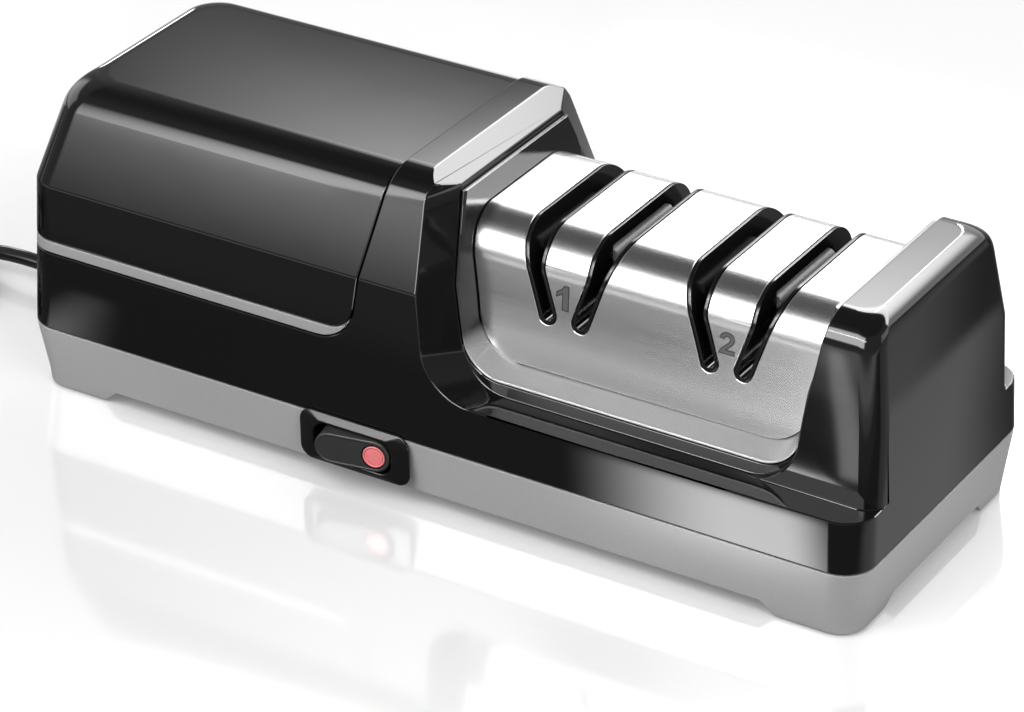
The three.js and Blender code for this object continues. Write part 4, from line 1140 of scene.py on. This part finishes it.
def bent_cover():
    """The stainless sheet bent over the stages, with its four slots."""
    sides = bay_outline(STEEL, STEEL, STEEL["floor"], STEEL["radius"])
    body = steel_body("bent_cover", 0, 0)
    combine(body, prism("sides", sides, "Y", -REACH, REACH), how="INTERSECT")
    combine(body, steel_body("inside", SHEET, OVERRUN))
    combine(body, *[slot_bar("slot", stage, way, 0) for stage, way in SLOTS])
    clean(body)
    ease(body, 0.22, 3, 20)
    return land(body, "case", "stainless", "steel_cover")


LINING = 0.8
DISC_RADIUS = 18.5
DISC_REACH = 3.8
PRESSER_ROOM = (7.4, 13.7, 60.7, 69.5)
EYE = (2, 58.6)
EYE_BOSS, EYE_HOLE = 1.75, 1.05
EARS, EAR_WIDTH = (-17, 14), 3
ROLL_MIDDLE = (6.2, 66.6)
ROLL_RADIUS = 1.7
ARM_HALF = 0.7
PRESSER_HALF = 13.4


def eye_hole(eye):
    return prism("eye", circle(*eye, EYE_HOLE, 20), "Y", -REACH, REACH)


def slot_lining(number, stage, way):
    """Black lining of one slot, with windows for its disc and its presser."""
    body = slot_bar(f"slot_lining_{number}", stage, way, GAP)
    combine(body, slot_bar("hollow", stage, way, GAP + LINING))
    combine(body, steel_body("skin", 0, OVERRUN), how="INTERSECT")

    def window(far, half, low, high):
        ends = sorted((stage, stage + way * far))
        return box("window", *ends, -half, half, low, high)

    below = SLOT_FOOT[1] - SLOT_HALF - AXIS
    disc_half = math.sqrt(DISC_RADIUS ** 2 - below ** 2) + GAP
    disc_room = window(DISC_REACH, disc_half, 0, AXIS + DISC_RADIUS + OVERRUN)
    combine(body, disc_room, window(*PRESSER_ROOM))
    eye = (stage + way * EYE[0], EYE[1])
    reach = stage + way * (SLOT_FOOT[0] + SLOT_LEAN * SLOT_HALF)
    ends = sorted((eye[0], reach))
    skin = slot_bar("skin", stage, way, GAP + LINING / 2)
    for south in EARS:
        north = south + EAR_WIDTH
        ear = prism("ear", circle(*eye, EYE_BOSS, 24), "Y", south, north)
        arm = box("arm", *ends, south, north, eye[1] - EYE_BOSS, eye[1] + EYE_BOSS)
        combine(ear, arm, how="UNION")
        combine(ear, copy_of(skin, "trough"), eye_hole(eye))
        combine(body, ear, how="UNION")
    bpy.data.objects.remove(skin)
    clean(body)
    ease(body, 0.12, angle=20)
    return land(body, "case", "guide_black", f"slot_guide_{number}")


def rubbing_presser(number, stage, way):
    """A sprung arm with a half-round roll that holds the blade to the disc."""
    eye, tip = [Vector((stage + way * x, z)) for x, z in (EYE, ROLL_MIDDLE)]
    along = (tip - eye).normalized()
    aside = Vector((-along.y, along.x)) * ARM_HALF
    arm = [tuple(eye - aside), tuple(tip - aside), tuple(tip + aside), tuple(eye + aside)]
    name = f"rubbing_presser_{number}"
    body, *parts = [
        prism(part, outline, "Y", -PRESSER_HALF, PRESSER_HALF) for part, outline in (
            (name, circle(*eye, EYE_BOSS, 32)),
            ("arm", arm),
            ("roll", circle(*tip, ROLL_RADIUS, 40)),
        )
    ]
    combine(body, *parts, how="UNION")
    combine(body, eye_hole(eye))
    clean(body)
    ease(body, 0.25, 3, 25)
    return land(body, f"presser_{number}", "presser_grey", f"blade_presser_{number}")


bay_frame()
bent_cover()
for number, (stage, way) in enumerate(SLOTS, 1):
    slot_lining(number, stage, way)
    rubbing_presser(number, stage, way)

# Switch

SWITCH_X = -18.5
SWITCH_Z = 12.4
PIVOT_Y = 41.2
PIVOT_PIN, PIVOT_HOLE = 1, 1.3
HOLE_ENDS = (6.4, 18.4)
PIN_HALF = 5.25
ROCKER_TILT = math.radians(10.4)
BEZEL_BACK = 43.7
BEZEL_FRONT = BEZEL_BACK + 1.1
SLEEVE_BACK = BEZEL_BACK - 5.2
PADDLE_FACE = 5.7
LENS_X = 5.8
LENS_WELL, WELL_DEPTH = 3.25, 1.5
LENS_EDGE, LENS_SHOULDER, LENS_RISE = 2.4, 5.56, 0.14

# Half length, half height, corner and depth of each outline of the bezel
BEZEL = (
    (12.25, 5.55, 3.6, SLEEVE_BACK),
    (12.25, 5.55, 3.6, BEZEL_BACK),
    (16, 7, 3.6, BEZEL_BACK),
    (16, 7, 3.6, BEZEL_FRONT - 0.75),
    (15.8, 6.8, 3.45, BEZEL_FRONT - 0.55),
    (12.3, 5.3, 3.5, BEZEL_FRONT + 0.5),
    (11.7, 4.95, 3.5, BEZEL_FRONT + 0.5),
    (11.35, 4.65, 3.5, BEZEL_FRONT + 0.3),
    (11.35, 4.65, 3.5, SLEEVE_BACK),
)
# Half length, half height and depth of each outline of the paddle
PADDLE = (
    (9.6, 3.95, -0.9),
    (10, 4.35, -0.5),
    (10, 4.35, 5.25),
    (9.86, 4.21, 5.56),
    (9.55, 3.9, PADDLE_FACE),
    (9.25, 3.6, PADDLE_FACE),
    (9.1, 3.45, 5.58),
)
# Radius and depth of each ring of the lens, up to its dome
LENS = ((2.95, 4.5), (2.95, 5.55), (2.8, PADDLE_FACE), (2.55, PADDLE_FACE), (2.4, LENS_SHOULDER))


def switch_frame():
    """The bezel: a wide rim that slopes up towards the paddle, and a sleeve behind it."""
    body = grow("switch_frame", [
        [
            (SWITCH_X + x, -depth, SWITCH_Z + z)
            for x, z in plan(-half, half, -high, high, corner, 12)
        ]
        for half, high, corner, depth in BEZEL
    ], hollow=True)
    pins = prism("pins", circle(SWITCH_X, -PIVOT_Y, PIVOT_HOLE, 20), "Z", *HOLE_ENDS)
    combine(body, pins)
    clean(body)
    ease(body, 0.12, angle=25)
    return land(body, "case", "switch_black", "switch_bezel")


def on_paddle(piece):
    """Turns a piece drawn about the rocker's pivot into its place."""
    hold(piece)
    piece.rotation_euler = (0, 0, ROCKER_TILT)
    piece.location = (SWITCH_X, -PIVOT_Y, SWITCH_Z)
    bpy.ops.object.transform_apply(location=True, rotation=True, scale=True)


def switch_paddle():
    """The rocker, its face edged by a fine raised line."""
    body = grow("switch_paddle", [
        [(x, -depth, z) for x, z in plan(-half, half, -high, high, high * ALMOST, 14)]
        for half, high, depth in PADDLE
    ])
    well = prism("well", circle(LENS_X, 0, LENS_WELL, 48), "Y", -REACH, WELL_DEPTH - PADDLE_FACE)
    combine(body, well)
    combine(body, prism("pin", circle(0, 0, PIVOT_PIN, 20), "Z", -PIN_HALF, PIN_HALF), how="UNION")
    clean(body)
    ease(body, 0.1, angle=25)
    on_paddle(body)
    return land(body, "rocker", "rocker_grey", "switch_rocker")


def pilot_lens():
    """The red lens: a low dome inside a fine rim."""
    dome = [
        (LENS_EDGE * math.cos(a), LENS_SHOULDER + LENS_RISE * math.sin(a))
        for a in (0.3, 0.6, 0.9, 1.2)
    ]
    body = grow("pilot_lens", [
        [(x, -depth, z) for x, z in circle(LENS_X, 0, radius)] for radius, depth in [*LENS, *dome]
    ])
    even(body)
    on_paddle(body)
    return land(body, "rocker", "lamp_red", "switch_lamp")


switch_frame()
switch_paddle()
pilot_lens()

# Numerals on the stainless front, as outlines in a box of one by one

ONE = (
    (0.46, 0.0), (1.0, 0.0), (1.0, 1.0), (0.60, 1.0), (0.40, 0.84), (0.0, 0.70), (0.0, 0.48),
    (0.46, 0.62),
)
TWO = (
    (0.0, 0.0), (1.0, 0.0), (1.0, 0.22), (0.50, 0.22), (0.74, 0.38), (0.92, 0.53), (0.99, 0.69),
    (0.94, 0.84), (0.78, 0.96), (0.52, 1.0), (0.26, 0.96), (0.09, 0.85), (0.02, 0.68),
    (0.34, 0.65), (0.39, 0.75), (0.50, 0.79), (0.61, 0.76), (0.65, 0.68), (0.60, 0.58),
    (0.42, 0.44), (0.16, 0.26), (0.02, 0.12),
)
# Margin inside the outline, rise above the steel, and finish of each layer of print
PRINT = (("edge", 0, 0.03, "numeral_edge"), ("fill", 0.3, 0.06, "numeral_grey"))
PRINT_ROOT = 0.1
STEEL_SLOPE = (STEEL_BREAK - STEEL_HEAD) / (STEEL_TOP - BREAK_HEIGHT)


def drawn_in(outline, margin):
    """The outline a margin further in, its corners kept."""
    points = [Vector(point) for point in outline]
    drawn = []
    for i, here in enumerate(points):
        back = (here - points[i - 1]).normalized().orthogonal()
        ahead = (points[(i + 1) % len(points)] - here).normalized().orthogonal()
        drawn.append(here + (back + ahead) * (margin / (1 + back.dot(ahead))))
    return drawn


def numeral(name, outline, west, east, low, high):
    """A stage number printed on the leaning steel front: grey with a dark edge."""
    full = [(west + (east - west) * u, low + (high - low) * v) for u, v in outline]
    for layer, margin, rise, finish in PRINT:
        front = [
            (x, (z - BREAK_HEIGHT) * STEEL_SLOPE - STEEL_BREAK, z)
            for x, z in drawn_in(full, margin)
        ]
        piece = grow(f"{name}_{layer}", [
            [(x, y + shift, z) for x, y, z in front] for shift in (PRINT_ROOT, -rise)
        ])
        land(piece, "case", "stainless", finish=finish)


numeral("numeral_one", ONE, 27.8, 31.4, 55.1, 61.7)
numeral("numeral_two", TWO, 72.1, 76.4, 56.1, 61.9)

# Cord ends

SLEEVE_ROOT = ((-2.8, 2.7), (0.6, 2.7), (0.6, 4.2))
SLEEVE_TIP = ((23.4, 2.85), (24, 2.6))
SLEEVE_RIBS, SLEEVE_STEP, SLEEVE_START = 7, 3.1, 1.6
SLEEVE_TAPER = 1.3 / 24
SLEEVE_GROOVE = 0.45
FLANGE = (-120.8, -118.4, -4.5, 4.5, 6.7, 11.9)


def cord_sleeve():
    """The tapered strain relief, with soft ribs along its length."""
    profile = [*SLEEVE_ROOT]
    for i in range(SLEEVE_RIBS):
        at = SLEEVE_START + i * SLEEVE_STEP
        rib = SLEEVE_ROOT[-1][1] - (at + 1.2) * SLEEVE_TAPER
        groove = rib - SLEEVE_GROOVE
        profile += [(at, rib), (at + 1.7, rib), (at + 2.0, groove), (at + 2.8, groove)]
    body = cone_on_relief("cord_sleeve", [*profile, *SLEEVE_TIP])
    combine(body, box("flange", *FLANGE), how="UNION")
    clean(body)
    ease(body, 0.15, angle=25)
    return land(body, "case", "cord_black", "strain_relief")


PLUG_X = COIL_X - COIL_OUTER
PLUG_Z = CORD + COIL_RISE
NECK_START = -COIL_OUTER - COIL_TAIL - GAP
NECK_RIBS, NECK_STEP = 5, 2.3
NECK_RIB, NECK_GROOVE = 3.2, 2.7
PLUG_FRONT = NECK_START - 11.8
PLUG_LENGTH = 24
# Way from the plug's cord end, half width, half height and corner of each outline
PLUG = (
    (0, 6.4, 5.0, 3),
    (1.2, 7.6, 5.9, 3),
    (6, 9, 6.5, 3),
    (22.8, 9, 6.5, 3),
    (PLUG_LENGTH, 8.2, 5.7, 2.4),
)
GRIPS, GRIP_START, GRIP_STEP = 4, 8, 3
GRIP_HALF, GRIP_CORNER = 0.6, 0.55
GRIP_LOW, GRIP_HIGH = 2.4, 10.6
GRIP_FLOOR, GRIP_OUT = 8.5, 12
BLADE_SPACING = 12.7
BLADE_HALF = 0.75
BLADE_LENGTH = 16
BLADE_LOW, BLADE_HIGH, BLADE_CORNER = 3.325, 9.675, 1.2
BLADE_HOLE, HOLE_PLACE = 1.5, 12


def plug_moulding():
    """The mains plug, with a ribbed neck and finger grips on its flanks."""
    profile = []
    for i in range(NECK_RIBS):
        at = NECK_START - i * NECK_STEP
        profile += [(at, NECK_RIB), (at - 1.3, NECK_RIB)]
        profile += [(at - 1.5, NECK_GROOVE), (at - 2.1, NECK_GROOVE)]
    profile += [(PLUG_FRONT - GAP, NECK_RIB)]
    neck = grow("neck", [
        [(x, at, z) for x, z in circle(PLUG_X, PLUG_Z, radius, 32)] for at, radius in profile
    ])
    body = grow("plug_moulding", [
        [
            (x, PLUG_FRONT - way, z) for x, z in plan(
                PLUG_X - half, PLUG_X + half, PLUG_Z - high, PLUG_Z + high, corner,
            )
        ]
        for way, half, high, corner in PLUG
    ])
    combine(body, neck, how="UNION")
    for side in (-1, 1):
        for i in range(GRIPS):
            at = PLUG_FRONT - GRIP_START - i * GRIP_STEP
            slit = plan(at - GRIP_HALF, at + GRIP_HALF, GRIP_LOW, GRIP_HIGH, GRIP_CORNER, 5)
            ends = (PLUG_X + side * GRIP_FLOOR, PLUG_X + side * GRIP_OUT)
            combine(body, prism("grip", slit, "X", *ends))
    clean(body)
    ease(body, 0.3, 3, 25)
    return land(body, "case", "plug_black", "mains_plug")


def plug_pin(number, side):
    """A flat plug blade with a rounded tip and its hole."""
    x = PLUG_X + side * BLADE_SPACING / 2
    start = PLUG_FRONT - PLUG_LENGTH - GAP
    tip = start - BLADE_LENGTH
    outline = arc_corners([
        (tip, BLADE_LOW, BLADE_CORNER), (start, BLADE_LOW),
        (start, BLADE_HIGH), (tip, BLADE_HIGH, BLADE_CORNER),
    ], 6)
    body = prism(f"plug_pin_{number}", outline, "X", x - BLADE_HALF, x + BLADE_HALF)
    hole = circle(start - HOLE_PLACE, PLUG_Z, BLADE_HOLE, 28)
    combine(body, prism("hole", hole, "X", x - OVERRUN, x + OVERRUN))
    ease(body, 0.18, angle=25)
    return land(body, "case", "blade_brass", f"plug_blade_{number}")


cord_sleeve()
plug = plug_moulding()
pins = [plug_pin(1, -1), plug_pin(2, 1)]
exit_spot = in_metres(on_relief(RELIEF_END))

# The lead inside the case, from the strain relief to the switch

LEAD = 1.8
LEAD_START = on_relief(-4.4).x
LEAD_SPOTS = (
    (LEAD_START + GAP, 0, RELIEF_HEIGHT), (LEAD_START + 5.4, 0, RELIEF_HEIGHT), (-102, -10, 9),
    (-92, -24, 9), (-69.7, -28, 9), (-45, -29, 10), (-36.15, -32.7, SWITCH_Z),
    (-31.05, -32.7, SWITCH_Z),
)
inner_route = smooth_route([Vector(spot) for spot in LEAD_SPOTS], 4)
inner_cord, inner_length = lay_cord("inner_flex", inner_route, LEAD)
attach(inner_cord, "case")
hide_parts("inner_lead")
tuple(in_metres(inner_route[0]))

# Studio, in metres

DIM = 0.35
EVEN = (-0.5, -0.35, 0.35, 0.5)
NORTHWARD, SOUTHWARD = (0, 1, 0), (0, -1, 0)
EASTWARD, WESTWARD = (1, 0, 0), (-1, 0, 0)
FRONT, REAR = -0.85, 0.5
LAMP_AIM = Vector((0, 0, 0.03))
FLOOR_SIZE = 12
MIRROR_SHARE = 0.42


def glowing(name, strength, low, across, up):
    """A card's light: dim at its sides, and from low to strong upwards between them."""
    made = Finish(name)
    level = made.along("Y").swell(*up) * (strength - low) + (low - DIM)
    level = made.along("X").swell(*across) * level + DIM
    made.show(made.first("ShaderNodeEmission", Strength=level))
    return made.material


def card(name, middle, normal, size, strength, low, across=EVEN, up=EVEN):
    """A soft card that only shows in glossy surfaces."""
    clear_hands()
    bpy.ops.mesh.primitive_plane_add(size=1)
    piece = name_piece(name)
    piece.location = middle
    piece.rotation_euler = Vector(normal).to_track_quat("Z", "Y").to_euler()
    piece.scale = (*size, 1)
    piece.data.materials.append(glowing(name, strength, low, across, up))
    piece.visible_camera = False
    piece.visible_diffuse = False
    piece.visible_shadow = False
    piece.visible_transmission = False


def lamp(name, middle, size, power):
    """A large soft lamp that looks at the object."""
    data = bpy.data.lights.new(name, "AREA")
    data.shape = "RECTANGLE"
    data.size, data.size_y = size
    data.energy = power
    light = bpy.data.objects.new(name, data)
    bpy.context.scene.collection.objects.link(light)
    light.location = middle
    light.rotation_euler = (Vector(middle) - LAMP_AIM).to_track_quat("Z", "Y").to_euler()
    light.visible_camera = False
    light.visible_glossy = False


def floor_light(floor):
    """What gloss sees of the floor: patches of light, each for one mirror image on the object."""
    x, y = floor.along("X"), floor.along("Y") - CASE_Y
    row = y.swell(-0.1, -0.095, -0.07, -0.06)
    face = x * 0.95 - (y + 0.043) * 0.6
    # the band's light patch before the bay, and its paler one at the left end
    patches = face.swell(0.04, 0.088, 0.1, 0.118) * 12
    patches = (patches + face.ramp(-0.122, -0.088, 3, 0) * x.ramp(-0.15, -0.13, 0, 1)) * row
    # the light line on the end cap's front
    aside = x - (y + 0.097) * 0.5
    line = aside.swell(0.0785, 0.081, 0.086, 0.09) * y.swell(-0.28, -0.26, -0.108, -0.102) * 3
    # close to the case: dark on the left, and two soft steps beside the end cap
    near = y.ramp(-0.05, 0.05, 0.1, DIM) + y.ramp(-0.135, -0.105, 0.1, 0)
    right = x.ramp(0.12, 0.13, 0, 1) * y.ramp(-0.06, -0.03, 0, 1)
    outer = x.ramp(0.172, 0.182, 0, 1)
    inner_step = (y - (x - 0.137) * 2).ramp(0.03, 0.075, 0.65, 0.12)
    outer_step = (y - (x - 0.192) * 1.65).ramp(0.1, 0.15, 0.45, 0.1)
    beside = inner_step * (1 - outer) + outer_step * outer
    near = near * (1 - right) + beside * right
    # further out in front, and behind the left end
    far = y.ramp(-0.19, -0.162, 0.4, 0) + y.ramp(-0.25, -0.2, 0.7, 0)
    far = far * y.ramp(-0.45, -0.3, 0.15, 1)
    behind = x.ramp(-0.2, -0.12, 1.2, 0) * y.ramp(0.05, 0.12, 0, 1)
    return patches + line + near + far + behind


def floor_finish():
    """White floor, with soft shadows and a faint mirror image for the camera."""
    floor = Finish("floor")
    matt = floor.first("ShaderNodeBsdfDiffuse", Color=grey(0.95))
    glow = floor.first("ShaderNodeEmission", Strength=0.25)
    white = floor.node("ShaderNodeAddShader", None, {0: matt, 1: glow}).outputs[0]
    mirror = floor.first("ShaderNodeBsdfGlossy", Roughness=0.1)
    dull = floor.first("ShaderNodeBsdfDiffuse", Color=grey(0.2))
    lit = floor.first("ShaderNodeEmission", Strength=floor_light(floor))
    path = floor.node("ShaderNodeLightPath").outputs
    hidden = floor.pick(path["Is Glossy Ray"], dull, lit)
    seen = floor.pick(MIRROR_SHARE, white, mirror)
    floor.show(floor.pick(path["Is Camera Ray"], hidden, seen))
    return floor.material


def world_light():
    """White for the camera, plain for matt surfaces, and for gloss dim, with a dark ceiling."""
    world = bpy.data.worlds.new("studio")
    bpy.context.scene.world = world
    world.use_nodes = True
    world.node_tree.nodes.clear()
    room = Nodes(world.node_tree)
    way = room.node("ShaderNodeTexCoord").outputs["Generated"]
    height = room.node("ShaderNodeSeparateXYZ", None, {0: way}).outputs[2]
    ceiling = room.node("ShaderNodeMapRange", None, {0: height, 1: 0.72, 2: 0.84, 3: DIM, 4: 0.08})
    soft, dim, white = [
        room.first("ShaderNodeBackground", Strength=level)
        for level in (0.7, ceiling.outputs[0], 1)
    ]
    path = room.node("ShaderNodeLightPath").outputs
    unseen = room.pick(path["Is Glossy Ray"], soft, dim)
    seen = room.pick(path["Is Camera Ray"], unseen, white)
    room.node("ShaderNodeOutputWorld", None, {0: seen})


# Name, west and east end, strength, and the swell across of each high card in front
FRONT_CARDS = (
    ("front_high_left", -1.0, -0.52, 9, (-0.6, -0.51, -0.5, 0.42)),
    ("front_high_middle", -0.52, -0.44, 3, (-0.6, -0.51, 0.51, 0.6)),
    ("front_high_right", -0.44, 0.3, 10, (-0.5, -0.35, 0.51, 0.6)),
)


def studio():
    """Floor, world, three soft lamps, and cards for the gloss."""
    clear_hands()
    bpy.ops.mesh.primitive_plane_add(size=FLOOR_SIZE)
    floor = name_piece("floor")
    floor.data.materials.append(floor_finish())
    world_light()
    lamp("key", (-0.5, -0.9, 1.3), (1.2, 1.2), 19)
    lamp("fill", (1.2, -0.4, 0.9), (1.0, 1.0), 9)
    lamp("rear", (0.2, 1.3, 1.0), (1.4, 0.8), 8)
    card("front_low_card", (-0.4, FRONT, 0.19), NORTHWARD, (1.4, 0.1), 6.5, 0.25,
         across=(-0.5, -0.4, 0.0, 0.4), up=(-0.21, 1.02, 1.1, 1.2))
    for name, west, east, strength, across in FRONT_CARDS:
        card(name, ((west + east) / 2, FRONT, 0.66), NORTHWARD, (east - west, 0.84),
             strength, 0.1, across=across, up=(-0.6, -0.5, 0.17, 0.46))
    card("front_strip", (-0.07, FRONT + 0.01, 0.62), NORTHWARD, (0.94, 0.03), 40, 40)
    card("rear_left_card", (-0.5, REAR, 0.46), SOUTHWARD, (0.44, 0.6), 6, 0.4,
         across=(-0.12, 0.5, 0.6, 0.7), up=(-0.2, 0.0, 0.4, 0.5))
    card("rear_rim_card", (-0.58, REAR - 0.01, 0.19), SOUTHWARD, (0.14, 0.07), 10, 10)
    card("rear_right_card", (0.21, REAR, 0.46), SOUTHWARD, (0.98, 0.6), 13, 2.0,
         across=(-0.5, -0.44, 0.4, 0.5), up=(-0.27, 0.1, 0.4, 0.5))
    card("rear_strip", (-0.075, REAR - 0.01, 0.46), SOUTHWARD, (0.02, 0.4), 40, 40)
    card("left_card", (-0.9, 0.1, 0.35), EASTWARD, (0.9, 0.5), 2.0, 0.3)
    card("right_card", (0.9, 0.35, 0.35), WESTWARD, (0.8, 0.5), 2.0, 0.3)


studio()
bpy.context.scene.view_settings.view_transform = "Standard"

clear_hands()
